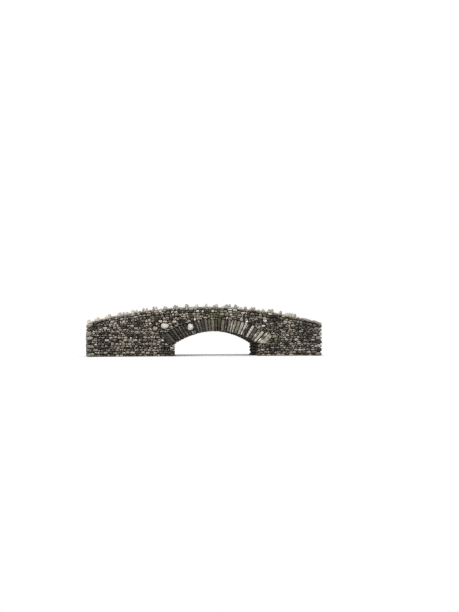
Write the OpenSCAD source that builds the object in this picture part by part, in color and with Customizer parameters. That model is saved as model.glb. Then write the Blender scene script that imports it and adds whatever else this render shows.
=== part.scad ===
// Humped rubble-stone packhorse bridge with one segmental arch.
// X runs along the road, Y across it with the upstream side at +Y, and Z is up.
// The origin is at the middle of the bridge, on the level of its footings.

/* [Road] */
// Overall length, from end face to end face
bridge_l = 11700; // [11400:100:12600]
// Clear width of the road between the parapets
road_w = 1600; // [1300:50:2000]
// Radius of the hump that the road follows
hump_r = 21000; // [19000:500:30000]
// Thickness of the pitched paving
paving_t = 90; // [70:5:150]
// Hearting left between the arch and the paving at the crown
crown_cover = 30; // [20:5:120]

/* [Arch] */
// Distance of the arch's crown from the middle of the bridge
arch_x = 550; // [0:50:700]
// Clear span between the abutments
span = 4200; // [3600:100:4400]
// Rise of the arch above its springing
rise = 640; // [560:20:760]
// Height of the springing above the footings
springing_z = 600; // [450:50:800]
// Depth of the longest ring stones at the crown
ring_d = 670; // [550:10:720]
// Depth below the crown at which the joints of the ring meet
fan_d = 2750; // [2500:50:3400]
// Number of stones in each face ring
ring_n = 31; // [25:2:35]
// Open joint between ring stones
ring_joint = 12; // [6:1:20]
// Most that a ring stone stands proud of the wall's face
ring_proud = 35; // [10:5:50]

/* [Abutments] */
// Rubble walling left between an abutment and the wing beside it
abut_clear = 200; // [150:10:300]
// How far the arch's sloping seat runs past the depth of the ring
skew_past = 130; // [110:10:200]
// Width of the level shoulder behind that seat
skew_w = 180; // [100:10:300]

/* [Walls] */
// Thickness of the walls and parapets
wall_t = 400; // [300:20:460]
// Height of the parapet masonry above the road
parapet_h = 350; // [250:10:500]
// Length of the wing at each corner
wing_l = 1953.9; // [1700:0.1:2050]
// How far a wing flares outwards by its end
wing_flare = 350; // [150:25:500]
// Thickness of the wall that closes each end
end_t = 400; // [300:20:500]

/* [Coping] */
// Mean width of one coping stone along the wall
cope_w = 165; // [140:5:240]
// Height of a low coping stone
cope_low = 105; // [85:5:150]
// Height of a tall coping stone
cope_tall = 230; // [180:5:260]
// Depth of a coping stone across the wall
cope_t = 330; // [240:10:400]
// Gap between coping stones
cope_gap = 14; // [6:2:24]
// Length of the flat slabs that end the coping on the right
slab_l = 850; // [700:50:1000]
// Thickness of those slabs
slab_t = 125; // [90:5:150]

/* [Hidden] */

// Sides: -1 is left in X and downstream in Y, +1 is right in X and upstream in Y
LEFT = -1;
RIGHT = 1;
DOWNSTREAM = -1;
UPSTREAM = 1;

// Arch geometry: the intrados is a circle, and the joints fan out from a nearer point
crown_z = springing_z + rise;
arch_r = (span * span / 4 + rise * rise) / (2 * rise);
arch_cz = crown_z - arch_r;
fan_z = crown_z - fan_d;
fan_end = atan2(span / 2, fan_d - rise);

// Road geometry: one circular hump, whose crest is at the middle of the bridge
crest_lift = hump_r - sqrt(hump_r * hump_r - arch_x * arch_x);
crest_z = crown_z + ring_d + crown_cover + paving_t + crest_lift;
hump_cz = crest_z - hump_r;
cope_base_r = hump_r + parapet_h;

// Outline of the plan
half_l = bridge_l / 2;
half_w = road_w / 2 + wall_t;
wing_x = half_l - wing_l;
abut_l = wing_x - abs(arch_x) - span / 2 - abut_clear;
flare_steps = 8;
wing_xs = [for (i = [0:flare_steps]) wing_x + wing_l * i / flare_steps];

// A square stone on the flared end of a wing stays this far inside the end face
cope_inset = cope_t / 2 * sin(flare_angle(half_l)) + cope_gap / 2;

// Cutting bodies reach this far past what they cut
past = 1000;
tall = crest_z + parapet_h + cope_tall + past;
wide = half_w + wing_flare + past;
hump_step = 1;
lap = 20;

// Pseudo-random number from -1 to 1 for item i of series k
function vary(i, k) =
    let (s = sin(i * 77.31 + k * 41.17) * 4375.85)
    2 * (s - floor(s)) - 1;

function sum_to(v, n) = n <= 0 ? 0 : v[n - 1] + sum_to(v, n - 1);

// Running edges from a to b, in steps that have the proportions of the list w
function edges(w, a, b) =
    let (total = sum_to(w, len(w)))
    [for (i = [0:len(w)]) a + (b - a) * sum_to(w, i) / total];

// Distance from the fan point at angle a to the circle of radius r about the arch's centre
function reach(a, r) =
    let (e = arch_cz - fan_z)
    e * cos(a) + sqrt(r * r - pow(e * sin(a), 2));

function fan_point(a, t) = [arch_x + t * sin(a), fan_z + t * cos(a)];

function flare(x) = wing_flare * pow(max(0, abs(x) - wing_x) / wing_l, 2);

function flare_angle(x) = atan(2 * wing_flare * max(0, abs(x) - wing_x) / pow(wing_l, 2));

function outer_y(x) = half_w + flare(x);

function inner_y(x) = outer_y(x) - wall_t;

function cope_base_z(x) = hump_cz + sqrt(pow(cope_base_r, 2) - x * x);

// Stones of ring k: their edges as angles, and how far stone i reaches from the fan point
ring_width_vary = 0.24;
ring_shortfall = 0.13;
ring_haunch_growth = 0.14;

function ring_edges(k) =
    edges([for (i = [0:ring_n - 1]) 1 + ring_width_vary * vary(i, k + 20)], -fan_end, fan_end);

function ring_top(a, i, k) =
    let (mid = (a[i] + a[i + 1]) / 2)
    reach(mid, arch_r)
    + ring_d * (1 - ring_shortfall * abs(vary(i, k)) + ring_haunch_growth * pow(mid / fan_end, 2));

// A 2D elevation in X and Z, given depth from y0 to y1
module across(y0, y1)
    translate([0, y1, 0]) rotate([90, 0, 0]) linear_extrude(y1 - y0) children();

// Y extents of the wall on side s, from its outer face inwards
module through_wall(s, depth = wall_t)
    across(s > 0 ? half_w - depth : -half_w, s > 0 ? half_w : -half_w + depth) children();

module full_width() across(-half_w, half_w) children();

module strip(x0, x1) translate([x0, 0]) square([x1 - x0, tall]);

// Everything below a line that runs d above the road's surface, laid in short chords
module below_road(d = 0) {
    r = hump_r + d;
    n = ceil(asin((half_l + past) / r) / hump_step);
    line = [for (i = [-n:n]) [r * sin(i * hump_step), hump_cz + r * cos(i * hump_step)]];
    polygon(concat([[line[0][0], -past]], line, [[line[2 * n][0], -past]]));
}

module skewback_2d(s) {
    seat = reach(fan_end, arch_r);
    foot = fan_point(s * fan_end, seat);
    head = fan_point(s * fan_end, seat + ring_d + skew_past);
    polygon([foot, head, head + [s * skew_w, 0], [head[0] + s * skew_w, springing_z]]);
}

module abutment_2d(s) {
    near = arch_x + s * span / 2;
    translate([min(near, near + s * abut_l), 0]) square([abut_l, springing_z]);
}

// Waterway and ring k, whose stepped back the walls and the hearting are built on.
// It laps onto the abutments and skewbacks, so that no sliver is left beside them
module ring_shadow(k) {
    a = ring_edges(k);
    n = ring_n - 1;
    lap_a = lap / fan_d * 180 / PI;
    h_first = (a[1] - a[0]) / 2;
    h_last = (a[n + 1] - a[n]) / 2;
    steps = [for (i = [0:n]) each [
        if (i > 0) fan_point(a[i], ring_top(a, i, k)),
        if (i < n) fan_point(a[i + 1], ring_top(a, i, k))
    ]];
    polygon(concat(
        [[arch_x - span / 2 - lap, -past], [arch_x - span / 2 - lap, springing_z]],
        [fan_point(-fan_end - lap_a, ring_top(a, 0, k) * cos(h_first) / cos(h_first + lap_a))],
        steps,
        [fan_point(fan_end + lap_a, ring_top(a, n, k) * cos(h_last) / cos(h_last + lap_a))],
        [[arch_x + span / 2 + lap, springing_z], [arch_x + span / 2 + lap, -past]]
    ));
}

module abutment(s) color([0.42, 0.41, 0.39]) full_width() abutment_2d(s);

module skewback(s) color([0.62, 0.61, 0.57]) full_width() skewback_2d(s);

// One tapered ring stone. It bears on the skewback at the ends and has open joints elsewhere
module ring_stone_2d(a, i, k) {
    mid = (a[i] + a[i + 1]) / 2;
    h = (a[i + 1] - a[i]) / 2;
    t0 = reach(mid, arch_r);
    t1 = ring_top(a, i, k);
    gap_l = i == 0 ? 0 : ring_joint / 2;
    gap_r = i == ring_n - 1 ? 0 : ring_joint / 2;
    inner_l = h - gap_l / t0 * 180 / PI;
    inner_r = h - gap_r / t0 * 180 / PI;
    outer_l = h - gap_l / t1 * 180 / PI;
    outer_r = h - gap_r / t1 * 180 / PI;
    polygon([
        fan_point(mid - inner_l, reach(mid - inner_l, arch_r)),
        fan_point(mid + inner_r, reach(mid + inner_r, arch_r)),
        fan_point(mid + outer_r, t1 * cos(h) / cos(outer_r)),
        fan_point(mid - outer_l, t1 * cos(h) / cos(outer_l))
    ]);
}

// The courses of the vault, which run from one face ring to the other
module arch_barrel(k) {
    a = ring_edges(k);
    color([0.36, 0.35, 0.34])
        across(-half_w + wall_t, half_w - wall_t)
            for (i = [0:ring_n - 1]) ring_stone_2d(a, i, k);
}

module voussoirs(s, k) {
    a = ring_edges(k);
    color([0.5, 0.49, 0.47])
        for (i = [0:ring_n - 1]) {
            proud = ring_proud * abs(vary(i, k + 1));
            across(
                s > 0 ? half_w - wall_t : -half_w - proud,
                s > 0 ? half_w + proud : -half_w + wall_t
            ) ring_stone_2d(a, i, k);
        }
}

// What stands over ring k and its abutment on side sx, up to d above the road
module above_arch(sx, k, d)
    difference() {
        below_road(d);
        ring_shadow(k);
        skewback_2d(sx);
        abutment_2d(sx);
    }

module spandrel(sx, sy, k)
    color([0.46, 0.45, 0.43])
        through_wall(sy)
            intersection() {
                strip(sx > 0 ? arch_x : -wing_x, sx > 0 ? wing_x : arch_x);
                above_arch(sx, k, 0);
            }

// Plan of a flared wing, from its inner face at distance 0 to depth
module wing_plan(sx, sy)
    polygon(concat(
        [for (x = wing_xs) [sx * x, sy * outer_y(x)]],
        [for (i = [flare_steps:-1:0]) [sx * wing_xs[i], sy * inner_y(wing_xs[i])]]
    ));

// Plan of what lies between the side walls, from x0 to x1 on side sx
module road_plan(sx, x0, x1) {
    outline = concat([x0], [for (x = wing_xs) if (x > x0 && x < x1) x], [x1]);
    n = len(outline) - 1;
    polygon(concat(
        [for (x = outline) [sx * x, inner_y(x)]],
        [for (i = [n:-1:0]) [sx * outline[i], -inner_y(outline[i])]]
    ));
}

// Like the spandrel, it is built round the skewback and the abutment where they reach it
module wing_wall(sx, sy)
    color([0.45, 0.44, 0.42])
        intersection() {
            linear_extrude(tall) wing_plan(sx, sy);
            across(-wide, wide) difference() {
                below_road();
                skewback_2d(sx);
                abutment_2d(sx);
            }
        }

module wing_parapet(sx, sy)
    color([0.48, 0.47, 0.45])
        intersection() {
            linear_extrude(tall) wing_plan(sx, sy);
            across(-wide, wide) difference() {
                below_road(parapet_h);
                below_road();
            }
        }

module parapet(sy)
    color([0.48, 0.47, 0.45])
        through_wall(sy)
            intersection() {
                strip(-wing_x, wing_x);
                difference() {
                    below_road(parapet_h);
                    below_road();
                }
            }

module end_wall(sx)
    color([0.43, 0.42, 0.4])
        intersection() {
            linear_extrude(tall) road_plan(sx, half_l - end_t, half_l);
            across(-wide, wide) below_road(-paving_t);
        }

// Rubble packed between the walls, over the arch and the abutment on one side of the crown
module hearting(sx, k)
    color([0.3, 0.27, 0.23])
        intersection() {
            linear_extrude(tall) road_plan(sx, sx * arch_x, half_l - end_t);
            across(-wide, wide) above_arch(sx, k, -paving_t);
        }

module paving_2d()
    difference() {
        below_road();
        below_road(-paving_t);
    }

module wing_paving(sx)
    color([0.52, 0.5, 0.45])
        intersection() {
            linear_extrude(tall) road_plan(sx, wing_x, half_l);
            across(-wide, wide) paving_2d();
        }

module crown_paving()
    color([0.52, 0.5, 0.45])
        across(-half_w + wall_t, half_w - wall_t)
            intersection() {
                strip(-wing_x, wing_x);
                paving_2d();
            }

// Side view of one coping stone between x0 and x1: tall ones stand on edge, low ones lie
module cope_stone_2d(x0, x1, h, lean) {
    z = cope_base_z((x0 + x1) / 2);
    sunk = 30;
    w = x1 - x0;
    polygon([
        [x0, z - sunk],
        [x1, z - sunk],
        [x1 - 0.06 * w, z + 0.62 * h],
        [x0 + (0.62 + lean) * w, z + h],
        [x0 + (0.36 + lean) * w, z + 0.97 * h],
        [x0 + 0.05 * w, z + 0.7 * h]
    ]);
}

// Coping between xa and xb on side sy. Each third stone stands tall, and so do a few others.
// Tall stones are broad blocks at the left-hand end and narrow slabs at the right
module cope_run(sy, xa, xb, k) {
    n = round((xb - xa) / cope_w);
    is_tall = [for (i = [0:n - 1]) (i + k) % 3 == 0 || vary(i, k + 9) > 0.66];
    tall_w = [for (i = [0:n - 1]) 0.95 - 0.24 * (xa + (xb - xa) * i / n) / half_l];
    widths = [for (i = [0:n - 1]) (is_tall[i] ? tall_w[i] : 1.1) * (1 + 0.22 * vary(i, k))];
    xs = edges(widths, xa, xb);
    for (i = [0:n - 1]) {
        x0 = xs[i] + cope_gap / 2;
        x1 = xs[i + 1] - cope_gap / 2;
        mid = (x0 + x1) / 2;
        h = (is_tall[i] ? cope_tall : cope_low) * (1 + 0.14 * vary(i, k + 3));
        depth = cope_t * (1 - 0.12 * abs(vary(i, k + 5)));
        turn = sy * sign(mid) * flare_angle(mid);
        translate([mid, sy * (outer_y(mid) - wall_t / 2), 0])
            rotate([0, 0, turn])
                translate([-mid, 0, 0])
                    across(-depth / 2, depth / 2)
                        cope_stone_2d(x0, x1, h, 0.1 * vary(i, k + 7));
    }
}

// The two flat slabs that close the coping at its right-hand end
module end_slabs(sy, xa, xb) {
    xs = [xa, (xa + xb) / 2 + 40, xb];
    for (i = [0:1]) {
        x0 = xs[i] + cope_gap / 2;
        x1 = xs[i + 1] - (i == 1 ? 0 : cope_gap / 2);
        mid = (x0 + x1) / 2;
        z0 = cope_base_z(x0);
        z1 = cope_base_z(x1);
        intersection() {
            linear_extrude(tall) wing_plan(RIGHT, sy);
            across(-wide, wide)
                polygon([[x0, z0 - 40], [x1, z1 - 40], [x1, z1 + 0.7 * slab_t], [x0, z0 + slab_t]]);
        }
    }
}

module above_parapets()
    difference() {
        union() children();
        across(-wide, wide) below_road(parapet_h);
    }

module coping(sy, k)
    color([0.7, 0.69, 0.64])
        above_parapets() cope_run(sy, -wing_x, wing_x, k);

module left_wing_coping(sy, k)
    color([0.7, 0.69, 0.64])
        above_parapets() cope_run(sy, -half_l + cope_inset, -wing_x, k);

module right_wing_coping(sy, k)
    color([0.7, 0.69, 0.64])
        above_parapets() {
            cope_run(sy, wing_x, half_l - slab_l, k);
            end_slabs(sy, half_l - slab_l, half_l);
        }

abutment(LEFT);  // left_abutment
abutment(RIGHT);  // right_abutment
skewback(LEFT);  // left_skewback
skewback(RIGHT);  // right_skewback
arch_barrel(0);
voussoirs(DOWNSTREAM, 2);  // downstream_voussoirs
voussoirs(UPSTREAM, 4);  // upstream_voussoirs
spandrel(LEFT, DOWNSTREAM, 2);  // downstream_left_spandrel
spandrel(RIGHT, DOWNSTREAM, 2);  // downstream_right_spandrel
spandrel(LEFT, UPSTREAM, 4);  // upstream_left_spandrel
spandrel(RIGHT, UPSTREAM, 4);  // upstream_right_spandrel
wing_wall(LEFT, DOWNSTREAM);  // downstream_left_wing_wall
wing_wall(RIGHT, DOWNSTREAM);  // downstream_right_wing_wall
wing_wall(LEFT, UPSTREAM);  // upstream_left_wing_wall
wing_wall(RIGHT, UPSTREAM);  // upstream_right_wing_wall
end_wall(LEFT);  // left_end_wall
end_wall(RIGHT);  // right_end_wall
hearting(LEFT, 0);  // left_hearting
hearting(RIGHT, 0);  // right_hearting
wing_paving(LEFT);  // left_paving
crown_paving();
wing_paving(RIGHT);  // right_paving
parapet(DOWNSTREAM);  // downstream_parapet
parapet(UPSTREAM);  // upstream_parapet
wing_parapet(LEFT, DOWNSTREAM);  // downstream_left_wing_parapet
wing_parapet(RIGHT, DOWNSTREAM);  // downstream_right_wing_parapet
wing_parapet(LEFT, UPSTREAM);  // upstream_left_wing_parapet
wing_parapet(RIGHT, UPSTREAM);  // upstream_right_wing_parapet
coping(DOWNSTREAM, 11);  // downstream_coping
coping(UPSTREAM, 12);  // upstream_coping
left_wing_coping(DOWNSTREAM, 13);  // downstream_left_wing_coping
right_wing_coping(DOWNSTREAM, 14);  // downstream_right_wing_coping
left_wing_coping(UPSTREAM, 15);  // upstream_left_wing_coping
right_wing_coping(UPSTREAM, 16);  // upstream_right_wing_coping
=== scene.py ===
"""Looks of a humped rubble-stone packhorse bridge: walls, arch rings, vault, paving, coping."""

import math

import bpy
import numpy as np
from bpy.props import (
    FloatProperty,
    FloatVectorProperty,
    IntProperty,
    PointerProperty,
)
from bpy.types import Operator, Panel, PropertyGroup
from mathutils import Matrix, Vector


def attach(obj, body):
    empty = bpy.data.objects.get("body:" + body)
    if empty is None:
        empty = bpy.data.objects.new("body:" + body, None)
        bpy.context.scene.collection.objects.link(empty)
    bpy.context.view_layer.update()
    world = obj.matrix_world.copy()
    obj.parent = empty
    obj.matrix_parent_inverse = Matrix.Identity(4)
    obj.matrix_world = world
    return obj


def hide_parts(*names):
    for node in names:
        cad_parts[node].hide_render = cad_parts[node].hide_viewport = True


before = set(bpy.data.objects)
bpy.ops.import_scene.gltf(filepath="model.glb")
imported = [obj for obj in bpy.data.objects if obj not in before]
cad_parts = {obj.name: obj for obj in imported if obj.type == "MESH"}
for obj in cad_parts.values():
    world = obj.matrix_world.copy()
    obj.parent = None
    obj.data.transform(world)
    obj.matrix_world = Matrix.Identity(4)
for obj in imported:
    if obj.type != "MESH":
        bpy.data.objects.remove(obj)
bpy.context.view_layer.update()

bl_info = {
    "name": "Packhorse Bridge",
    "version": (1, 0, 0),
    "blender": (4, 5, 0),
    "location": "3D View > Sidebar > Bridge",
    "description": "Rubble walling, ring stones, paving and rough coping of a humped stone bridge",
    "category": "Object",
}

# Sizes of the source, in metres
BRIDGE_L = 11.7
ROAD_W = 1.6
HUMP_R = 21.0
PAVING_T = 0.09
CROWN_COVER = 0.03
ARCH_X = 0.55
SPAN = 4.2
RISE = 0.64
SPRINGING_Z = 0.6
RING_D = 0.67
FAN_D = 2.75
RING_N = 31
RING_PROUD = 0.035
RING_WIDTH_VARY = 0.24
RING_SHORTFALL = 0.13
RING_HAUNCH_GROWTH = 0.14
SKEW_PAST = 0.13
WALL_T = 0.4
PARAPET_H = 0.35
WING_L = 1.9539
WING_FLARE = 0.35
COPE_W = 0.165
COPE_LOW = 0.105
COPE_TALL = 0.23
COPE_T = 0.33
COPE_GAP = 0.014
SLAB_L = 0.85
SLAB_T = 0.125

# Sides and ends, as signs of Y and X
DOWNSTREAM, UPSTREAM = -1, 1
LEFT, RIGHT = -1, 1
SIDE_NAMES = {DOWNSTREAM: "downstream", UPSTREAM: "upstream"}

# The source's series of random numbers: of each ring, and of the coping's middle, left and right
RING_SERIES = {DOWNSTREAM: 2, UPSTREAM: 4}
COPING_SERIES = {DOWNSTREAM: (11, 13, 14), UPSTREAM: (12, 15, 16)}

# Lengths and places that the source works out from its sizes
HALF_L = BRIDGE_L / 2
HALF_W = ROAD_W / 2 + WALL_T
WING_X = HALF_L - WING_L
CROWN_Z = SPRINGING_Z + RISE
ARCH_R = (SPAN * SPAN / 4 + RISE * RISE) / (2 * RISE)
ARCH_CZ = CROWN_Z - ARCH_R
FAN_Z = CROWN_Z - FAN_D
FAN_END = math.degrees(math.atan2(SPAN / 2, FAN_D - RISE))
CREST_Z = (
    CROWN_Z + RING_D + CROWN_COVER + PAVING_T
    + HUMP_R - math.sqrt(HUMP_R * HUMP_R - ARCH_X * ARCH_X)
)
HUMP_CZ = CREST_Z - HUMP_R
FLARE_END = math.atan(2 * WING_FLARE / WING_L)
COPE_INSET = COPE_T / 2 * math.sin(FLARE_END) + COPE_GAP / 2

# The source's nodes that each kind of piece stands for
WALLS = ("left_spandrel", "right_spandrel", "left_wing_wall", "right_wing_wall")
PARAPETS = ("parapet", "left_wing_parapet", "right_wing_parapet")
COPINGS = ("coping", "left_wing_coping", "right_wing_coping")
END_WALLS = ("left_end_wall", "right_end_wall")
ABUTMENTS = ("left_abutment", "right_abutment")
SKEWBACKS = ("left_skewback", "right_skewback")
PAVINGS = ("left_paving", "crown_paving", "right_paving")
HEARTINGS = ("left_hearting", "right_hearting")

# Beds: how deep they lie, and how near a face a solid's point is taken to be on it
BED_DEPTH = 0.07
ROAD_BED_DEPTH = 0.026
ON_SIDE = 0.004
ON_END = 0.002
ON_ROAD = 0.01

# How face stones vary, as shares of their mean
LENGTHS = (0.42, 1.7)
HEIGHTS = (0.65, 1.45)
JOINTS = (0.55, 1.6)
SPLITS = (0.4, 0.6)     # the lower one's share of the height of two thin stones
RAY_TURN = 0.28         # how far a ray may turn, as a share of the angle between two
RAY_NOTCH = 0.09        # how much a ray may fall short of the outline
RIM_VARY = 0.02         # how much a ring's points wander

# Face stones: depths seen from the face, and the least that is kept of one
STONE_BACK = -0.1
STONE_RIM = -0.05
DEEP_RIM = 0.03         # from the back of a deeper stone to where its outline is full
STONE_SPOKES = 12
STONE_BLUNT = 13        # power that rounds an outline's corners
STONE_DOME = 0.006
STONE_ROUGH = 0.004
WORN_SHOULDER = 0.13    # depth of the worn shoulder, as a share of the stone's size
WORN_RIM = 0.02         # and of the ring inside it
NEIGHBOURS = 16
LEAST_INSIDE = 0.018    # from a stone's centre to the edge of its region
LEAST_AREA = 0.0012     # of a stone's outline, in square metres
PAST_END = 0.004        # how far the region of the stones passes the bridge's end
PAST_TOP = 0.002        # and the foot of the coping
CLEAR = 0.01            # what the walling keeps clear of the ring and the springers
EDGE_GAP = 0.004        # what the vault and the parapets keep clear at their foot and sides
TINY = 1e-6

# Quoins, jambs and springers
WALL_BANDS = 6          # quoins in the height of an end, below the road
PARAPET_BANDS = 2
QUOIN_LONG = 0.34
QUOIN_SHORT = 0.2
QUOIN_GAP = 0.006
QUOIN_ROOM = 0.03       # the least from a quoin's side to the centre of the next stone
QUOIN_X = HALF_L - QUOIN_LONG / 2 - 0.02    # a stone centred beyond it is a quoin
JAMB_REACH = 0.17       # a stone centred this near the waterway turns its corner
JAMB_BACK = -0.28
JAMB_Y = HALF_W - 0.285    # half the width of abutment between the stones that turn its corners
JAMB_LONGER, JAMB_TALLER = 1.3, 1.25    # its stones' size as a multiple of the walls'
JAMB_GAP = 0.006        # what they keep clear under the springers
SPRINGER_T = 0.25
SPRINGER_FIT = 0.985
REAR_Y = HALF_W - WALL_T    # where the rings and springers end, behind the face

# Vault, road and coping
VAULT_JOINT = 0.014
VAULT_STEPS = 61
VAULT_BED_T = 1.02      # up to where the vault's bed reaches, as a multiple of the ring's depth
VAULT_BED_GAP = 0.006   # how far it stops short of the plane of the walls' beds
PARAPET_GAP = 0.03      # what the paving keeps clear of the parapets
COPE_SINK = 0.004
COPE_GROW = 1.05        # makes up for what the wear takes off
COPE_SHADE_H = 0.05      # how far painted shade reaches up the foot of a coping stone
# Painted shade of the two end slabs, ring by ring: faint on their outer faces
SLAB_SHADE = (0.1,) + (0.0,) * 4 + (0.1,)

# Meshes: the angle in degrees from which an edge is sharp, and the digits of a merged point
SHARP_ANGLE = 38
SAME_DIGITS = 5

# Starts of the random numbers of each kind of stone
SEEDS = {
    "walling": 1, "parapets": 31, "ends": 51, "jambs": 61, "springers": 71, "rings": 81,
    "vault": 91, "paving": 101, "coping": 111,
}

# Columns of a stone's finish, each from 0 to 1. The last is painted shade: it darkens stones where
# they lie in their joints, and the coping at its foot.
FINISH = ("tone", "hue", "pale", "moss", "damp", "dirt")
TONE, HUE, PALE, MOSS, DAMP, PAINTED_SHADE = range(6)


def nodes_on(parts, *sides):
    """Names of the source's nodes: each part on each named side, or on both."""
    return [f"{side}_{part}" for side in sides or SIDE_NAMES.values() for part in parts]


def vary(i, k):
    """The source's own pseudo-random number from -1 to 1 for item i of series k:
    the fraction of a large multiple of a sine, doubled and centred."""
    s = np.sin(np.radians(np.asarray(i) * 77.31 + k * 41.17)) * 4375.85
    return 2 * (s - np.floor(s)) - 1


def road_z(x):
    """Height of the road at x: a circle of the hump's radius, highest at the middle."""
    return HUMP_CZ + np.sqrt(HUMP_R ** 2 - np.square(x))


def cope_z(x):
    """Height of the parapets' top at x: a circle one parapet's height outside the road's."""
    return HUMP_CZ + np.sqrt((HUMP_R + PARAPET_H) ** 2 - np.square(x))


def flare(x):
    """How far a wing has swung out at x: it grows with the square of the way along the wing."""
    return WING_FLARE * np.square(np.maximum(0, np.abs(x) - WING_X) / WING_L)


def outer_y(x):
    """Distance of the walls' outer face from the bridge's centre line at x."""
    return HALF_W + flare(x)


def inner_y(x):
    """Distance of the parapets' inner face from the bridge's centre line at x."""
    return outer_y(x) - WALL_T


def reach(a, r):
    """Distance from the fan point, along a joint at angle a in degrees, to a circle of radius r
    about the arch's centre, by the cosine rule."""
    e = ARCH_CZ - FAN_Z
    a = np.radians(a)
    return e * np.cos(a) + np.sqrt(r * r - np.square(e * np.sin(a)))


def fan_point(a, t):
    """Point in the elevation at distance t from the fan point, along the joint at angle a."""
    a = np.radians(a)
    return np.stack([ARCH_X + t * np.sin(a), FAN_Z + t * np.cos(a)], -1)


def ring_edges(k):
    """Angles of the joints of ring k: running sums of the stones' varied widths."""
    widths = 1 + RING_WIDTH_VARY * vary(np.arange(RING_N), k + 20)
    run = np.concatenate([[0], np.cumsum(widths)])
    return FAN_END * (2 * run / run[-1] - 1)


def ring_tops(k):
    """Distance from the fan point to the back of each stone of ring k: the intrados there, plus
    a depth that each stone falls short of by a little and that grows towards the haunches."""
    a = ring_edges(k)
    mid = (a[:-1] + a[1:]) / 2
    short = RING_SHORTFALL * np.abs(vary(np.arange(RING_N), k))
    growth = RING_HAUNCH_GROWTH * np.square(mid / FAN_END)
    return reach(mid, ARCH_R) + RING_D * (1 - short + growth)


def long_quoin(z):
    """Whether the quoin at height z runs long on the end. The quoins' courses are even steps
    below the road's end level and even steps from there to the parapet's top, and the odd ones
    run long."""
    low, high = road_z(HALF_L), cope_z(HALF_L)
    below = np.floor(z / low * WALL_BANDS)
    above = WALL_BANDS + np.floor((z - low) / (high - low) * PARAPET_BANDS)
    return np.where(z < low, below, above) % 2 == 1


def quoin_return(z):
    """How far the quoin at height z runs along the end: long and short by turns."""
    return np.where(long_quoin(z), QUOIN_LONG, QUOIN_SHORT)


def quoin_width(z):
    """How far the quoin at height z runs along the side: the turn opposite to its return."""
    return np.where(long_quoin(z), QUOIN_SHORT, QUOIN_LONG)


def quoin_back(centres, run, back):
    """Depth of each stone's back: a quoin's lies as far in as it runs, and the others' as
    given."""
    return np.where(np.abs(centres[:, 0]) > QUOIN_X, QUOIN_GAP - run, back)


def least(*distances):
    """The least of several distances, point by point."""
    return np.minimum.reduce(distances)


# Closed stones


class Stones:
    """A batch of closed stones: points, faces, and for each point its finish and its place in
    the stone's own space."""

    def __init__(self, points, quads, tris, finish=None, lay=None):
        self.points, self.quads, self.tris = points, quads, tris
        self.finish = np.zeros((len(points), len(FINISH))) if finish is None else finish
        self.lay = points if lay is None else lay


def join(batches):
    """One batch from several, with the faces' numbers moved on by the points before them."""
    starts = np.cumsum([0] + [len(b.points) for b in batches])
    parts = [(b.points, b.quads + s, b.tris + s, b.finish, b.lay) for b, s in zip(batches, starts)]
    return Stones(*(np.concatenate(part) for part in zip(*parts)))


def shells(rings, back, front):
    """Closed stones on a grid of two parameters: ring l and direction k give rings[:, l, k], and
    one pole closes each end. Returns points, quads and triangles, turned to face outwards by
    the sign of the summed volume."""
    n, rows, spokes, _ = rings.shape
    points = np.concatenate([back[:, None], rings.reshape(n, -1, 3), front[:, None]], 1)
    step = points.shape[1]
    k = np.arange(spokes)
    nxt = (k + 1) % spokes
    low = 1 + np.arange(rows - 1)[:, None] * spokes
    quads = np.stack([low + k, low + nxt, low + spokes + nxt, low + spokes + k], -1).reshape(-1, 4)
    last = 1 + (rows - 1) * spokes
    tris = np.concatenate([
        np.stack([np.zeros_like(k), nxt + 1, k + 1], -1),
        np.stack([np.full_like(k, step - 1), last + k, last + nxt], -1),
    ])
    offsets = np.arange(n)[:, None, None] * step
    quads = (quads[None] + offsets).reshape(-1, 4)
    tris = (tris[None] + offsets).reshape(-1, 3)
    points = points.reshape(-1, 3)
    if volume(points, quads, tris) < 0:
        quads, tris = quads[:, ::-1], tris[:, ::-1]
    return points, quads, tris


def volume(points, quads, tris):
    """Signed volume of closed shells: a sixth of the sum of each triangle's triple product."""
    t = np.concatenate([tris, quads[:, [0, 1, 2]], quads[:, [0, 2, 3]]])
    a, b, c = points[t[:, 0]], points[t[:, 1]], points[t[:, 2]]
    return float(np.einsum("ij,ij->i", a, np.cross(b, c)).sum() / 6)


def soft_least(t, power):
    """The smallest distance along each ray, blunted: the power mean with a large negative
    power, which rounds the corners where two faces meet."""
    t = np.maximum(t, 1e-4)
    return np.power(np.power(t, -power).sum(-1), -1.0 / power)


def clip_to(inside, centres, spoke, t):
    """Shortens each ray so that it ends where the region ends: ten samples find the first one
    outside, and eight halvings close in on the edge."""
    steps = np.linspace(0, 1, 11)[1:]
    at = centres[:, None, None] + spoke[:, :, None] * (t[..., None, None] * steps[:, None])
    out = inside(at[..., 0], at[..., 1]) < 0
    first = np.where(out.any(-1), out.argmax(-1), len(steps))
    low = t * first / len(steps)
    high = t * np.minimum(first + 1, len(steps)) / len(steps)
    for _ in range(8):
        mid = (low + high) / 2
        at = centres[:, None] + spoke * mid[..., None]
        ok = inside(at[..., 0], at[..., 1]) >= 0
        low, high = np.where(ok, mid, low), np.where(ok, high, mid)
    return np.where(out.any(-1), low, t)


def shaded_finish(look, rings, spokes):
    """Finish of every point of every stone: the stone's own look, with the painted shade that its
    rings hold, from the back pole to the front one."""
    along = np.concatenate([[rings[0]], np.repeat(rings, spokes), [rings[-1]]])
    finish = np.repeat(look, len(along), axis=0)
    return np.column_stack([finish, np.tile(along, len(look))])


def bedding(rng, flat, depth, short):
    """The stones' own space, for the thin layers in them: each stone's short direction is its
    third axis, and each stone starts at a place of its own."""
    across = (flat * short).sum(-1)
    along = flat[..., 0] * short[..., 1] - flat[..., 1] * short[..., 0]
    own = np.stack([along, depth, across], -1)
    return (own + rng.uniform(0, 40, (len(own), 1, 3))).reshape(-1, 3)


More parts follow.
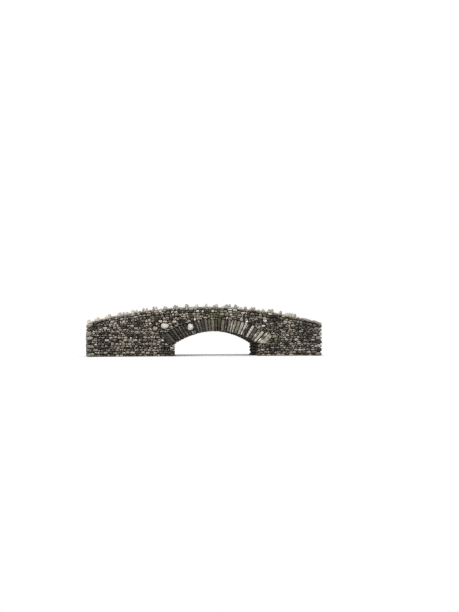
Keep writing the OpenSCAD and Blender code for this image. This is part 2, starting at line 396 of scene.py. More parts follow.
def course_lines(rng, low, high, height):
    """Lower and upper edges of courses from low to high, varied about the wanted height."""
    n = max(1, int(round((high - low) / height)))
    run = np.concatenate([[0], np.cumsum(rng.uniform(*HEIGHTS, n))])
    z = low + (high - low) * run / run[-1]
    return list(zip(z[:-1], z[1:]))


def coursed_seeds(rng, rows, length, end, jitter, split=0.0):
    """Centres and half sizes of stones laid in courses: each course runs from -end to end in
    varied lengths, and some stones are split into two thin ones, one on the other."""
    centres, halves = [], []
    for low, high in rows:
        h = high - low
        enough = max(2, int(2 * end / length * 1.4))
        widths = length * rng.uniform(*LENGTHS, enough)
        run = -end + rng.uniform(-0.5, 0) * length + np.cumsum(widths)
        keep = run - widths / 2 < end
        mid, w = (run - widths / 2)[keep], widths[keep]
        tall = (low + high) / 2 + h * jitter * rng.uniform(-1, 1, len(mid))
        two = rng.random(len(mid)) < split
        centres.append(np.stack([mid[~two], tall[~two]], -1))
        halves.append(np.stack([w[~two] / 2, np.full((~two).sum(), h / 2)], -1))
        share = rng.uniform(*SPLITS, two.sum())
        for sign, part in ((-1, share), (1, 1 - share)):
            middle = tall[two] + sign * h / 2 * (1 - part)
            centres.append(np.stack([mid[two], middle], -1))
            halves.append(np.stack([w[two] / 2, part * h / 2], -1))
    return np.concatenate(centres), np.concatenate(halves)


def outlines(rng, centres, halves, joint, inside):
    """Outline of each stone as distances along rays in even directions. The border with each
    neighbour stands square to the line between the two centres, in a metric that the mean
    stone makes round, at a share set by the two sizes in that direction, half a joint back.
    The blunted least of all borders is the outline, cut to the region."""
    n, spokes = len(centres), STONE_SPOKES
    metric = halves.mean(0)
    gap = joint * rng.uniform(*JOINTS, n)
    d = (centres[None] - centres[:, None]) / metric
    square = np.square(d).sum(-1)
    np.fill_diagonal(square, np.inf)
    near = min(NEIGHBOURS, n - 1)
    order = np.argpartition(square, near - 1, axis=1)[:, :near]
    d = np.take_along_axis(d, order[..., None], 1)
    square = np.take_along_axis(square, order, 1)
    unit = d / np.sqrt(square)[..., None]
    size = halves / metric
    mine = 1 / np.sqrt(np.square(unit / size[:, None]).sum(-1))
    theirs = 1 / np.sqrt(np.square(unit / size[order]).sum(-1))
    share = mine / (mine + theirs)
    lean = np.sqrt(np.square(d / metric).sum(-1))
    back = (gap[:, None] + gap[order]) / 4 * lean
    turn = 2 * math.pi / spokes
    angle = turn * (np.arange(spokes) + rng.uniform(0, 1, (n, 1)))
    angle = angle + turn * RAY_TURN * rng.uniform(-1, 1, (n, spokes))
    ray = np.stack([np.cos(angle), np.sin(angle)], -1)
    toward = np.einsum("njc,nkc->nkj", d, ray)
    border = (share * square - back)[:, None]
    far = np.where(toward > TINY, border / np.maximum(toward, TINY), 60.0)
    t = soft_least(far, STONE_BLUNT)
    spoke = ray * metric
    t = t * (1 - RAY_NOTCH * np.square(rng.random(t.shape)))
    t = clip_to(inside, centres, spoke, t)
    return spoke * t[..., None]


# Size and painted shade of a face stone's rings, from its back to its face: the shade is darkest
# at the back and the rim, which lie in the joints
PLATE_RINGS = (0.9, 1.0, 0.93, 0.77, 0.4)
PLATE_SHADE = (1.0, 1.0, 0.42, 0.05, 0.0)


def plates(rng, centres, halves, joint, inside, place, look, proud, tilt=0.05,
           back=STONE_BACK, rim=STONE_RIM):
    """Face stones: each outline from outlines() is carried through rings that run from a
    smaller back, over a full rim and a worn shoulder, to a nearly flat, tilted and slightly
    domed face. Stones stand proud by the least to the most of two depths. Their back is one
    depth or a function of their centres. place(u, v, d) puts the surface's own two lengths and
    the depth into space."""
    keep = inside(centres[:, 0], centres[:, 1]) > LEAST_INSIDE
    centres, halves = centres[keep], halves[keep]
    edge = outlines(rng, centres, halves, joint, inside)
    ahead = np.roll(edge, -1, 1)
    area = 0.5 * np.abs(np.sum(edge[..., 0] * ahead[..., 1] - edge[..., 1] * ahead[..., 0], 1))
    keep = area > LEAST_AREA
    centres, halves, edge, area = centres[keep], halves[keep], edge[keep], area[keep]
    n = len(centres)
    back = np.broadcast_to(back(centres) if callable(back) else back, (n,))
    rim = np.where(back < STONE_BACK, back + DEEP_RIM, rim)
    h = rng.uniform(*proud, n)
    lean = rng.uniform(-tilt, tilt, (n, 2))
    round_to = edge.mean(1, keepdims=True)
    small = np.sqrt(area)[:, None]
    extent = np.abs(edge - round_to).max(1, keepdims=True)
    shortest = extent.min(-1, keepdims=True)
    rings, flats, depths = [], [], []
    for number, scale in enumerate(PLATE_RINGS):
        inset = 1 - shortest * (1 - scale) / extent
        flat = round_to + (edge - round_to) * inset
        if scale < 1:
            flat = flat * (1 + RIM_VARY * rng.uniform(-1, 1, flat.shape[:2])[..., None])
        face = h[:, None] + (flat * lean[:, None]).sum(-1)
        uneven = STONE_ROUGH * rng.uniform(-1, 1, face.shape)
        depth = (
            np.broadcast_to(back[:, None], face.shape),
            np.broadcast_to(rim[:, None], face.shape),
            face - WORN_SHOULDER * small * rng.uniform(0.5, 1.3, face.shape),
            face - WORN_RIM * small + uneven,
            face + STONE_DOME + 1.2 * uneven,
        )[number]
        at = centres[:, None] + flat
        rings.append(np.stack(place(at[..., 0], at[..., 1], depth), -1))
        flats.append(flat)
        depths.append(depth)
    middle = centres + round_to[:, 0]
    face = h + (round_to[:, 0] * lean).sum(-1) + STONE_DOME + STONE_ROUGH * rng.uniform(-1, 1, n)
    front = np.stack(place(middle[:, 0], middle[:, 1], face), -1)
    rear = np.stack(place(middle[:, 0], middle[:, 1], back), -1)
    points, quads, tris = shells(np.stack(rings, 1), rear, front)
    finish = shaded_finish(look(rng, front), PLATE_SHADE, STONE_SPOKES)
    flats = np.concatenate([round_to, *flats, round_to], 1)
    depths = np.concatenate([back[:, None], *depths, face[:, None]], 1)
    quarter = 0 if halves[:, 0].mean() > halves[:, 1].mean() else 1.57
    angle = rng.normal(0, 0.12, (n, 1)) + quarter
    short = np.stack([np.sin(angle), np.cos(angle)], -1)
    return Stones(points, quads, tris, finish, bedding(rng, flats, depths, short))


def polygon_outline(rng, corners, centres, spokes, power, wobble):
    """Outline of convex blocks as distances along rays: the blunted least of the distances to
    the lines through the corners, a little uneven. The rays are even once a block's long and
    short directions, found from the spread of its corners, are made equal. Returns the outline,
    the two spreads and the two directions."""
    n, count, _ = corners.shape
    a = corners - centres[:, None]
    edge = np.roll(a, -1, 1) - a
    normal = np.stack([edge[..., 1], -edge[..., 0]], -1)
    normal = normal / np.maximum(np.linalg.norm(normal, axis=-1, keepdims=True), 1e-9)
    off = (normal * a).sum(-1)
    normal, off = normal * np.sign(off)[..., None], np.abs(off)
    size, axes = np.linalg.eigh(np.einsum("ncj,nck->njk", a, a) / count)
    size = np.sqrt(size)
    long = axes[:, :, 1]
    short = np.stack([-long[:, 1], long[:, 0]], -1)
    angle = 2 * math.pi / spokes * (np.arange(spokes) + 0.5)
    angle = np.broadcast_to(angle, (n, spokes))[..., None]
    ray = (np.cos(angle) * (long * size[:, 1:])[:, None]
           + np.sin(angle) * (short * size[:, :1])[:, None])
    toward = np.einsum("njc,nkc->nkj", normal, ray)
    far = np.where(toward > TINY, off[:, None] / np.maximum(toward, TINY), 1e3)
    t = soft_least(far, power)
    t = t * (1 - wobble * rng.random((n, spokes)))
    return ray * t[..., None], size, long, short


# By default a block's rings carry painted shade, darkest at its back and sides, which lie in the
# joints
def blocks(rng, corners, profile, place, look, spokes, power, rough, wobble=0.02, shift=0.0,
           dirt=(1.0, 1.0, 0.75, 0.2, 0.0, 0.0)):
    """Blocks cut to convex elevations: the outline is carried through a profile of (scale,
    depth) rings, each a little uneven, between two poles. The scale is that of the short
    direction, and the long one draws in by the same distance. Depths may differ from stone to
    stone. place(u, v, d) puts the elevation's two lengths and the depth into space."""
    centres = corners.mean(1)
    edge, size, long, short = polygon_outline(rng, corners, centres, spokes, power, wobble)
    n = len(centres)
    along = (edge * long[:, None]).sum(-1, keepdims=True) * long[:, None]
    across = edge - along
    rings, flats, depths = [], [np.zeros((n, 1, 2))], []
    drift = np.zeros((n, 1, 2))
    for scale, depth in profile:
        uneven = 1 + rough * 2 * rng.uniform(-1, 1, (n, spokes, 1))
        drift = drift * 0.5 + shift * rng.uniform(-1, 1, (n, 1, 2))
        in_length = (1 - (1 - scale) * size[:, :1] / size[:, 1:])[:, None]
        flat = (along * in_length + across * scale) * uneven + drift
        at = centres[:, None] + flat
        deep = np.broadcast_to(np.reshape(depth, (-1, 1)), (n, spokes))
        deep = deep + rough * rng.uniform(-1, 1, (n, spokes))
        rings.append(np.stack(place(at[..., 0], at[..., 1], deep), -1))
        flats.append(flat)
        depths.append(deep)
    rear, front = (
        np.stack(place(centres[:, 0], centres[:, 1], np.broadcast_to(depth, (n,))), -1)
        for _, depth in (profile[0], profile[-1])
    )
    points, quads, tris = shells(np.stack(rings, 1), rear, front)
    finish = shaded_finish(look(rng, (rear + front) / 2), dirt, spokes)
    flats = np.concatenate([*flats, flats[0]], 1)
    depths = np.concatenate([depths[0][:, :1], *depths, depths[-1][:, :1]], 1)
    return Stones(points, quads, tris, finish, bedding(rng, flats, depths, short[:, None]))


# Finishes of stones, one row for each: tone, hue, pale, moss and damp


def either(rng, n, share, some, others):
    """Even random numbers from one range for a share of n stones and from another for the
    rest."""
    return np.where(rng.random(n) < share, rng.uniform(*some, n), rng.uniform(*others, n))


def three_tones(rng, n, dark, light):
    """Tones of stones: a share of dark ones, a share of light ones and the rest between."""
    kind = rng.random(n)
    tone = np.where(kind < dark, rng.uniform(0.0, 0.2, n), rng.uniform(0.27, 0.58, n))
    return np.where(kind > 1 - light, rng.uniform(0.75, 1.0, n), tone)


def wall_look(rng, at):
    """Finish of walling stones: tone and hue at random, a few pale ones, moss low down, damp at
    the foot, and stones darker and less rough towards the right-hand end."""
    n = len(at)
    tone = three_tones(rng, n, 0.38, 0.29)
    cool = either(rng, n, 0.5, (0.12, 0.34), (0.68, 0.86))
    hue = np.where((tone > 0.7) & (rng.random(n) < 0.8), cool, rng.random(n))
    pale = either(rng, n, 0.25, (0.45, 0.9), (0, 0.3))
    moss = np.clip(0.35 - at[:, 2], 0, 1) * rng.uniform(0, 1.6, n)
    # Darker and less rough towards the right-hand end
    damp = np.clip((at[:, 0] - 4.3) / 1.4, 0, 1) * rng.uniform(0.3, 1, n)
    damp = np.maximum(damp, np.clip(0.8 - at[:, 2], 0, 0.5) * rng.uniform(0.2, 1, n))
    return np.stack([tone, hue, pale, moss, damp], -1)


def ring_look(rng, at):
    """Finish of ring stones: more dark ones and more light ones than in the walling, some of them
    pale, and all darker towards the left of the downstream ring, partly as painted shadow and
    partly as browner and purpler stone."""
    n = len(at)
    # Painted shadow to the left of the downstream ring, with browner and purpler hues there
    left = np.clip((1.0 - at[:, 0]) / 1.2, 0, 1) * (at[:, 1] < 0)
    tone = three_tones(rng, n, 0.42, 0.34) * (1 - 0.82 * left)
    hue = np.where(rng.random(n) < 0.6 * left, rng.choice((0.42, 0.78), n), rng.random(n) * 0.8)
    pale = either(rng, n, 0.4, (0.5, 0.85), (0, 0.25)) * (1 - 0.8 * left)
    moss = rng.random(n) * 0.25
    damp = rng.random(n) * 0.2
    return np.stack([tone, hue, pale, moss, damp], -1)


def springer_look(rng, at):
    """Finish of the springers: like the ring's, but the downstream right-hand one is bleached
    almost white, with moss on it."""
    look = ring_look(rng, at)
    right = (at[:, 0] > ARCH_X) & (at[:, 1] < 0)
    look[:, TONE] = np.where(right, 0.85, look[:, TONE])
    look[:, PALE] = np.where(right, 0.72, 0.2)
    look[:, MOSS] = np.where(right, 0.36, look[:, MOSS])
    return look


def vault_look(rng, at):
    """Finish of the vault and the abutments' inner faces: dark, damp and greenish."""
    n = len(at)
    tone = np.clip(rng.normal(0.4, 0.16, n), 0.05, 1)
    hue, pale, moss = rng.random(n), rng.random(n) * 0.15, rng.random(n) * 0.5
    return np.stack([tone, hue, pale, moss, rng.uniform(0.3, 0.9, n)], -1)


def cope_look(rng, at):
    """Finish of coping stones: pale with lichen, with a few darker ones."""
    n = len(at)
    tone = np.clip(rng.normal(0.75, 0.18, n), 0.2, 1)
    pale = np.clip(rng.normal(0.72, 0.16, n), 0.05, 0.84)
    moss = np.where(rng.random(n) < 0.13, rng.random(n) * 0.4, 0.05)
    return np.stack([tone, rng.random(n) * 0.7, pale, moss, np.zeros(n)], -1)


def slab_look(rng, at):
    """Finish of the two long slabs that end the coping: bleached and almost without moss."""
    look = cope_look(rng, at)
    look[:, TONE], look[:, PALE], look[:, MOSS] = 0.85, 0.74, 0.05
    return look


def paving_look(rng, at):
    """Finish of the pitched road: worn mid-grey stones, mossier and darker beside the walls."""
    n = len(at)
    tone = np.clip(rng.normal(0.58, 0.16, n), 0.1, 1)
    side = np.abs(at[:, 1]) / inner_y(at[:, 0])
    moss = np.clip((side - 0.45) * 1.6, 0, 1) * rng.uniform(0.2, 1, n)
    return np.stack([tone, rng.random(n), rng.random(n) * 0.25, moss, rng.random(n) * 0.3], -1)


# Places on the downstream face that are bleached, mossy, or darker and less rough: x, z, radius
# and strength
PALE_SPOTS = (
    (-0.80, 1.45, 0.22, 1.0), (1.23, 1.59, 0.11, 1.0), (2.05, 1.75, 0.13, 1.0),
    (1.95, 1.45, 0.15, 0.9), (1.82, 1.15, 0.13, 0.9), (2.03, 1.51, 0.10, 1.0),
    (1.76, 1.65, 0.09, 0.8), (1.65, 1.20, 0.10, 0.7), (2.47, 1.03, 0.14, 0.8),
    (2.68, 1.15, 0.08, 0.9), (1.00, 2.00, 0.07, 1.0), (-0.43, 1.73, 0.07, 0.8),
    (-0.43, 1.50, 0.07, 0.8), (-0.62, 1.18, 0.13, 0.7), (-0.21, 1.23, 0.09, 0.5),
    (-0.96, 1.14, 0.08, 0.8), (-2.08, 1.49, 0.24, 0.75), (-1.73, 1.45, 0.12, 0.6),
    (-2.53, 1.36, 0.16, 0.5), (4.06, 1.37, 0.15, 0.6), (2.76, 0.76, 0.19, 1.0),
    (3.10, 1.06, 0.17, 1.0), (0.30, 1.88, 0.09, 0.8),
)
MOSS_SPOTS = ((0.45, 2.05, 0.65, 0.42), (-1.0, 1.0, 0.4, 0.25), (3.4, 0.95, 0.5, 0.4))
DAMP_SPOTS = ((5.25, 1.3, 0.8, 1.0), (3.5, 1.85, 0.35, 0.9))


def add_spots(points, finish):
    """The finish of each point of the downstream walls' outer half, raised to the strength of
    the spots that it lies in. A spot is full over six tenths of its radius and fades to nothing
    a tenth outside it."""
    front = points[:, 1] < WALL_T / 2 - HALF_W
    for column, spots in ((PALE, PALE_SPOTS), (MOSS, MOSS_SPOTS), (DAMP, DAMP_SPOTS)):
        for x, z, radius, amount in spots:
            away = np.hypot(points[:, 0] - x, points[:, 2] - z) / radius
            here = amount * np.clip(2.0 * (1.1 - away), 0, 1) * front
            finish[:, column] = np.maximum(finish[:, column], here)
    return finish


# Materials


class Wiring:
    """The nodes of one material or world. A value given to a node may be a number, a vector, a
    colour, a socket, or a node, which stands for its first output."""

    def __init__(self, owner):
        owner.use_nodes = True
        self.tree = owner.node_tree
        self.tree.nodes.clear()

    def node(self, kind, inputs=None, **settings):
        """A new node with its settings and its inputs' values or links."""
        node = self.tree.nodes.new("ShaderNode" + kind)
        for name, value in settings.items():
            setattr(node, name, value)
        for key, value in (inputs or {}).items():
            socket = node.inputs[key]
            if isinstance(value, bpy.types.Node):
                value = value.outputs[0]
            if isinstance(value, bpy.types.NodeSocket):
                self.tree.links.new(value, socket)
            elif socket.type == "RGBA":
                socket.default_value = (*value[:3], 1.0)
            else:
                socket.default_value = value
        return node

    def math(self, kind, *values):
        """The values taken together, one after the other, by the named operation."""
        total = values[0]
        for value in values[1:]:
            total = self.node("Math", {0: total, 1: value}, operation=kind)
        return total

    def band(self, value, low, high, to_low=0.0, to_high=1.0):
        """A value spread from low..high to to_low..to_high and held there."""
        return self.node("MapRange", {
            "Value": value, "From Min": low, "From Max": high,
            "To Min": to_low, "To Max": to_high,
        })

    def noise(self, vector, scale, detail=4.0, rough=0.55):
        """A noise of a space."""
        return self.node("TexNoise", {
            "Vector": vector, "Scale": scale, "Detail": detail, "Roughness": rough})

    def cells(self, vector, scale):
        """Cells of a space: the distance from the middle of each, and a chance of its own."""
        cells = self.node("TexVoronoi", {"Vector": vector, "Scale": scale})
        chance = self.node("SeparateColor", {0: cells.outputs["Color"]})
        return cells.outputs["Distance"], chance

    def blend(self, factor, a, b, kind="MIX"):
        """Colour a turned towards colour b by a factor."""
        node = self.node("Mix", {0: factor, 6: a, 7: b}, data_type="RGBA", blend_type=kind)
        return node.outputs[2]

    def surface(self, colour, roughness, gloss, height, strength):
        """The shader of a rough stony surface with its bump, joined to the output."""
        bump = self.node("Bump", {"Height": height, "Distance": 1.0, "Strength": strength})
        shader = self.node("BsdfPrincipled", {
            "Base Color": colour, "Roughness": roughness, "Specular IOR Level": gloss,
            "Normal": bump,
        })
        self.node("OutputMaterial", {0: shader})


def stone_material(name, colours, lichen, gain):
    """Weathered rubble: a hue and tone for each stone, mottled at three scales, with pale
    lichen in patches, moss on what looks up or stays wet, and grain in the bump."""
    material = bpy.data.materials.new(name)
    w = Wiring(material)
    space = w.node("TexCoord").outputs["Object"]
    own = {key: w.node("Attribute", attribute_name=key).outputs["Fac"] for key in FINISH}
    broad = w.noise(space, 4.0)
    middle = w.noise(space, 17.0, rough=0.62)
    fine = w.noise(space, 75.0, rough=0.7)
    lay = w.node("Attribute", attribute_name="lay").outputs["Vector"]
    thin = w.node("Mapping", {"Vector": lay, "Scale": (1.0, 1.0, 5.0)})
    layers = w.noise(thin, 9.0, 5.0, 0.68)

    # The stone itself: its hue times its mottled tone, stained in broad patches
    hue = w.node("ValToRGB", {0: own["hue"]})
    stops = (
        (0.0, colours.slate), (0.22, colours.grey), (0.42, colours.brown),
        (0.6, colours.green), (0.78, colours.purple), (1.0, colours.buff),
    )
    elements = hue.color_ramp.elements
    while len(elements) < len(stops):
        elements.new(0.5)
    for element, (place, colour) in zip(elements, stops):
        element.position = place
        element.color = (*colour, 1.0)
    level = w.band(own["tone"], 0, 1, 0.1 * gain, 2.2 * gain)
    for mottle, amount in ((middle, 0.22), (fine, 0.16), (layers, 0.36)):
        level = w.math("ADD", level, w.band(mottle, 0.3, 0.7, -amount, amount))
    grey = w.node("CombineColor", {0: level, 1: level, 2: level})
    colour = w.blend(1.0, hue, grey, "MULTIPLY")
    colour = w.blend(w.band(broad, 0.5, 0.72, 0.0, 0.5), colour, colours.stain)

    # Lichen: soft patches on the pale stones, and small crusts of chance sizes on all
    patches = w.math("ADD", middle, w.math("MULTIPLY", own["pale"], 0.42))
    solid = w.math(
        "MAXIMUM", w.band(fine, 0.3, 0.6, 0.45, 1.0), w.band(own["pale"], 0.75, 1.0))
    patches = w.math("MULTIPLY", w.band(patches, 0.72, 0.86), solid)
    bent = w.noise(space, 45.0, 3.0, 0.5).outputs["Color"]
    bent = w.node("VectorMath", {0: bent, 1: (0.035,) * 3}, operation="MULTIPLY")
    bent = w.node("VectorMath", {0: space, 1: bent}, operation="ADD")
    distance, chance = w.cells(bent, 19.0)
    crusts = w.math("LESS_THAN", distance, w.band(chance, 0.45, 1.0, 0.0, 0.45))
    crusts = w.math("MULTIPLY", crusts, w.band(fine, 0.35, 0.6, lichen * 0.4, lichen))
    crusted = w.blend(w.band(own["pale"], 0.85, 1.0), colours.lichen, colours.quartz)
    colour = w.blend(w.math("MAXIMUM", patches, crusts), colour, crusted)

    # Moss on what looks up or stays wet, then the tint of damp, then painted shade near the joints
    up = w.node("SeparateXYZ", {0: w.node("NewGeometry").outputs["Normal"]}).outputs[2]
    growth = w.math("ADD", own["moss"], w.band(up, 0.5, 1.0, 0.0, 0.16), broad)
    growth = w.math("MULTIPLY", w.band(growth, 0.72, 1.05), w.band(fine, 0.35, 0.6, 0.5, 1.0))
    colour = w.blend(growth, colour, colours.moss)
    colour = w.blend(w.math("MULTIPLY", own["damp"], 0.85), colour, colours.damp, "MULTIPLY")
    # Painted shade: each stone turns towards the dark grit colour where its finish says it lies in
    # a joint
    shade_mask = w.math("ADD", own["dirt"], w.band(middle, 0.3, 0.7, -0.15, 0.15))
    colour = w.blend(w.band(shade_mask, 0.15, 1.0, 0.0, 0.85), colour, colours.grit_and_shade)

    height = w.math("ADD", *(
        w.math("MULTIPLY", grain, depth)
        for grain, depth in ((middle, 0.012), (fine, 0.004), (layers, 0.008))))
    w.surface(colour, w.band(own["damp"], 0, 1, 0.9, 0.62), 0.3, height, 0.8)
    return material


def packing_and_shade_material(name, colours):
    """Chips, earth and grit packed in the joints, coloured near black as painted shade of the deep
    joints: coarse, with moss in patches.
    """
    material = bpy.data.materials.new(name)
    w = Wiring(material)
    space = w.node("TexCoord").outputs["Object"]
    broad = w.noise(space, 5.0)
    grit = w.noise(space, 60.0, 5.0, 0.7)
    flat = w.node("Mapping", {"Vector": space, "Scale": (1.0, 1.0, 1.8)})
    distance, chance = w.cells(flat, 20.0)
    gap = w.band(distance, 0.3, 0.6)
    chip = w.math("MULTIPLY", chance, w.band(grit, 0.3, 0.7, 0.6, 1.0))
    colour = w.blend(chip, colours.grit_and_shade, colours.chip)
    # Painted shade between the chips: near black at the cells' edges
    colour = w.blend(gap, colour, colours.joint_dark)
    colour = w.blend(w.band(broad, 0.55, 0.7, 0.0, 0.8), colour, colours.moss)
    height = w.math("SUBTRACT", w.math("MULTIPLY", grit, 0.012), w.math("MULTIPLY", gap, 0.03))
    w.surface(colour, 0.95, 0.2, height, 0.9)
    return material


# Finishes by name, and of the stony ones the strength of the crusts and the gain in lightness
RUBBLE, COPING, PACKING_AND_SHADE = "weathered_rubble", "lichened_coping", "joint_packing"
STONE_FINISHES = {RUBBLE: (0.5, 1.0), COPING: (0.9, 1.05)}
MATERIALS = {}


def finish_named(name):
    """The finish of that name, made on first use from the scene's colours."""
    if name not in MATERIALS:
        colours = bpy.context.scene.bridge_colours
        if name == PACKING_AND_SHADE:
            MATERIALS[name] = packing_and_shade_material(name, colours)
        else:
            MATERIALS[name] = stone_material(name, colours, *STONE_FINISHES[name])
    return MATERIALS[name]


# Pieces


def make_piece(name, stones, replaced, finish_name=RUBBLE):
    """A mesh object from a batch of stones, with its finish as point attributes, which rides on
    the bridge's body and stands for the solids that it replaces."""
    mesh = bpy.data.meshes.new(name)
    quads, tris = stones.quads, stones.tris
    mesh.vertices.add(len(stones.points))
    mesh.vertices.foreach_set("co", stones.points.astype(np.float32).ravel())
    corners = np.concatenate([quads.ravel(), tris.ravel()]).astype(np.int32)
    mesh.loops.add(len(corners))
    mesh.loops.foreach_set("vertex_index", corners)
    starts = np.concatenate([
        np.arange(len(quads)) * 4, len(quads) * 4 + np.arange(len(tris)) * 3
    ]).astype(np.int32)
    mesh.polygons.add(len(starts))
    mesh.polygons.foreach_set("loop_start", starts)
    mesh.polygons.foreach_set("use_smooth", np.ones(len(starts), bool))
    mesh.update(calc_edges=True)
    mesh.validate()
    mesh.set_sharp_from_angle(angle=math.radians(SHARP_ANGLE))
    finish = add_spots(stones.points, stones.finish.copy())
    for column, key in enumerate(FINISH):
        layer = mesh.attributes.new(key, "FLOAT", "POINT")
        layer.data.foreach_set("value", finish[:, column].astype(np.float32))
    mesh.attributes.new("lay", "FLOAT_VECTOR", "POINT").data.foreach_set(
        "vector", stones.lay.astype(np.float32).ravel())
    mesh.materials.append(finish_named(finish_name))
    piece = bpy.data.objects.new(name, mesh)
    bpy.context.collection.objects.link(piece)
    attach(piece, "root")
    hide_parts(*replaced)
    return piece


def merged_copy(nodes):
    """Points and triangles of CAD nodes, with the points that coincide made one."""
    points, tris, base = [], [], 0
    for node in nodes:
        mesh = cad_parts[node].data
        co = np.empty(len(mesh.vertices) * 3)
        mesh.vertices.foreach_get("co", co)
        mesh.calc_loop_triangles()
        tri = np.empty(len(mesh.loop_triangles) * 3, np.int32)
        mesh.loop_triangles.foreach_get("vertices", tri)
        co = co.reshape(-1, 3)
        _, first, same = np.unique(
            np.round(co, SAME_DIGITS), axis=0, return_index=True, return_inverse=True)
        tri = same.reshape(-1)[tri].reshape(-1, 3)
        whole = (tri[:, 0] != tri[:, 1]) & (tri[:, 1] != tri[:, 2]) & (tri[:, 0] != tri[:, 2])
        points.append(co[first])
        tris.append(tri[whole] + base)
        base += len(first)
    return np.concatenate(points), np.concatenate(tris)


def drawn_in(points, faces):
    """Points of the solids with the named faces drawn in. Points on an outer, inner or end face
    or on one to the waterway move into the wall by the depth of the joints. Points on the road
    go down to the grit that almost fills its joints."""
    x, y, z = points.T
    off = x - ARCH_X
    moves = {
        "outer": (1, np.abs(y) > outer_y(x) - ON_SIDE, -np.sign(y) * BED_DEPTH),
        "inner": (1, np.abs(y) < inner_y(x) + ON_SIDE, np.sign(y) * BED_DEPTH),
        "ends": (0, np.abs(x) > HALF_L - ON_END, -np.sign(x) * BED_DEPTH),
        "waterway": (0, np.abs(off) < SPAN / 2 + ON_END, np.sign(off) * BED_DEPTH),
        "road": (2, z > road_z(x) - ON_ROAD, np.full(len(z), -ROAD_BED_DEPTH)),
    }
    moved = points.copy()
    for face in faces:
        axis, here, step = moves[face]
        moved[here, axis] += step[here]
    return moved


def bed_piece(name, nodes, slot, *faces):
    """What the face stones are bedded on: the solids themselves, flat shaded, with the named
    faces drawn in."""
    points, tris = merged_copy(nodes)
    stones = Stones(drawn_in(points, faces), np.zeros((0, 4), int), tris)
    piece = make_piece(name, stones, nodes, PACKING_AND_SHADE)
    piece.data.polygons.foreach_set("use_smooth", np.zeros(len(piece.data.polygons), bool))


# Sizes and colours that a user may change


def colour_property(name, description, default):
    """A colour that a user may change."""
    return FloatVectorProperty(
        name=name, description=description, default=default, subtype="COLOR", size=3,
        min=0.0, max=1.0,
    )


def length_property(name, description, default):
    """A length that a user may change."""
    return FloatProperty(
        name=name, description=description, default=default, min=0.0, unit="LENGTH",
        subtype="DISTANCE", precision=3,
    )


class BridgeWallingSettings(PropertyGroup):
    """Sizes of the rubble of the walls, parapets, ends and abutments"""
    stone_l: length_property("Stone length", "Mean length of a walling stone", 0.158)
    stone_h: length_property("Course height", "Mean height of a course", 0.108)
    joint: length_property("Joint", "Mean width of the open joints", 0.018)
    proud: length_property("Unevenness", "How far stones stand proud of each other", 0.046)
    seed: IntProperty(name="Seed", description="Start of the random numbers", default=7)


class BridgeRingSettings(PropertyGroup):
    """Sizes of the arch's stones"""
    joint: length_property("Joint", "Width of the open joints between ring stones", 0.04)
    setback: length_property("Setback", "How far a stone's worn edge lies behind its face", 0.02)
    vault_l: length_property("Vault stone", "Mean length of a stone in the vault", 0.46)


class BridgePavingSettings(PropertyGroup):
    """Sizes of the road's stones"""
    stone_l: length_property("Stone length", "Mean length of a paving stone", 0.21)
    stone_w: length_property("Stone width", "Mean width of a course of paving", 0.12)
    joint: length_property("Joint", "Mean width of the paving's joints", 0.014)


class BridgeCopingSettings(PropertyGroup):
    """Shape of the coping stones"""
    unevenness: length_property("Unevenness", "How far a stone's sides wander", 0.012)


class BridgeColourSettings(PropertyGroup):
    """Colours of the stones and of the packing in their joints"""
    slate: colour_property("Slate", "Dark slaty stone", (0.104, 0.092, 0.080))
    grey: colour_property("Grey", "Mid-grey stone", (0.205, 0.178, 0.149))
    brown: colour_property("Brown", "Brown stone", (0.199, 0.154, 0.116))
    green: colour_property("Green", "Grey-green stone", (0.171, 0.159, 0.127))
    purple: colour_property("Purple", "Purplish stone", (0.174, 0.146, 0.129))
    buff: colour_property("Buff", "Buff stone", (0.302, 0.254, 0.203))
    stain: colour_property("Stain", "Broad dark stains", (0.07, 0.062, 0.045))
    lichen: colour_property("Lichen", "Pale lichen", (0.72, 0.685, 0.6))
    quartz: colour_property("Quartz", "White quartz", (0.9, 0.885, 0.85))
    moss: colour_property("Moss", "Moss and algae", (0.085, 0.095, 0.035))
    damp: colour_property("Damp", "Tint of damp stone", (0.37, 0.36, 0.365))
    # The joints' colours are partly painted shade: the dark one for the deep joints of the
    # packing, the light one for its grit and for the shade painted on stones beside their joints
    joint_dark: colour_property("Joint, dark", "Deep joints", (0.012, 0.010, 0.008))
    grit_and_shade: colour_property("Joint, light", "Grit in the joints", (0.04, 0.034, 0.026))
    chip: colour_property("Chips", "Small stones packed in the joints", (0.15, 0.135, 0.11))


class BridgeStageSettings(PropertyGroup):
    """Camera and light"""
    azimuth: FloatProperty(
        name="Azimuth", description="Direction of the camera round the bridge",
        default=math.radians(-10), subtype="ANGLE")
    distance: length_property("Distance", "From the camera to the point it looks at", 45.0)
    eye_z: length_property("Eye height", "Height of the camera over the footings", 1.4)
    focal_px: FloatProperty(
        name="Focal length", description="Focal length in pixels of the picture", default=900.0)
    sun: FloatProperty(name="Sun", description="Strength of the soft key light", default=3.6)
    back: FloatProperty(name="Back", description="Strength of the light from behind", default=1.5)
    sky: FloatProperty(name="Sky", description="Strength of the even light", default=0.4)


# Walls, parapets and ends


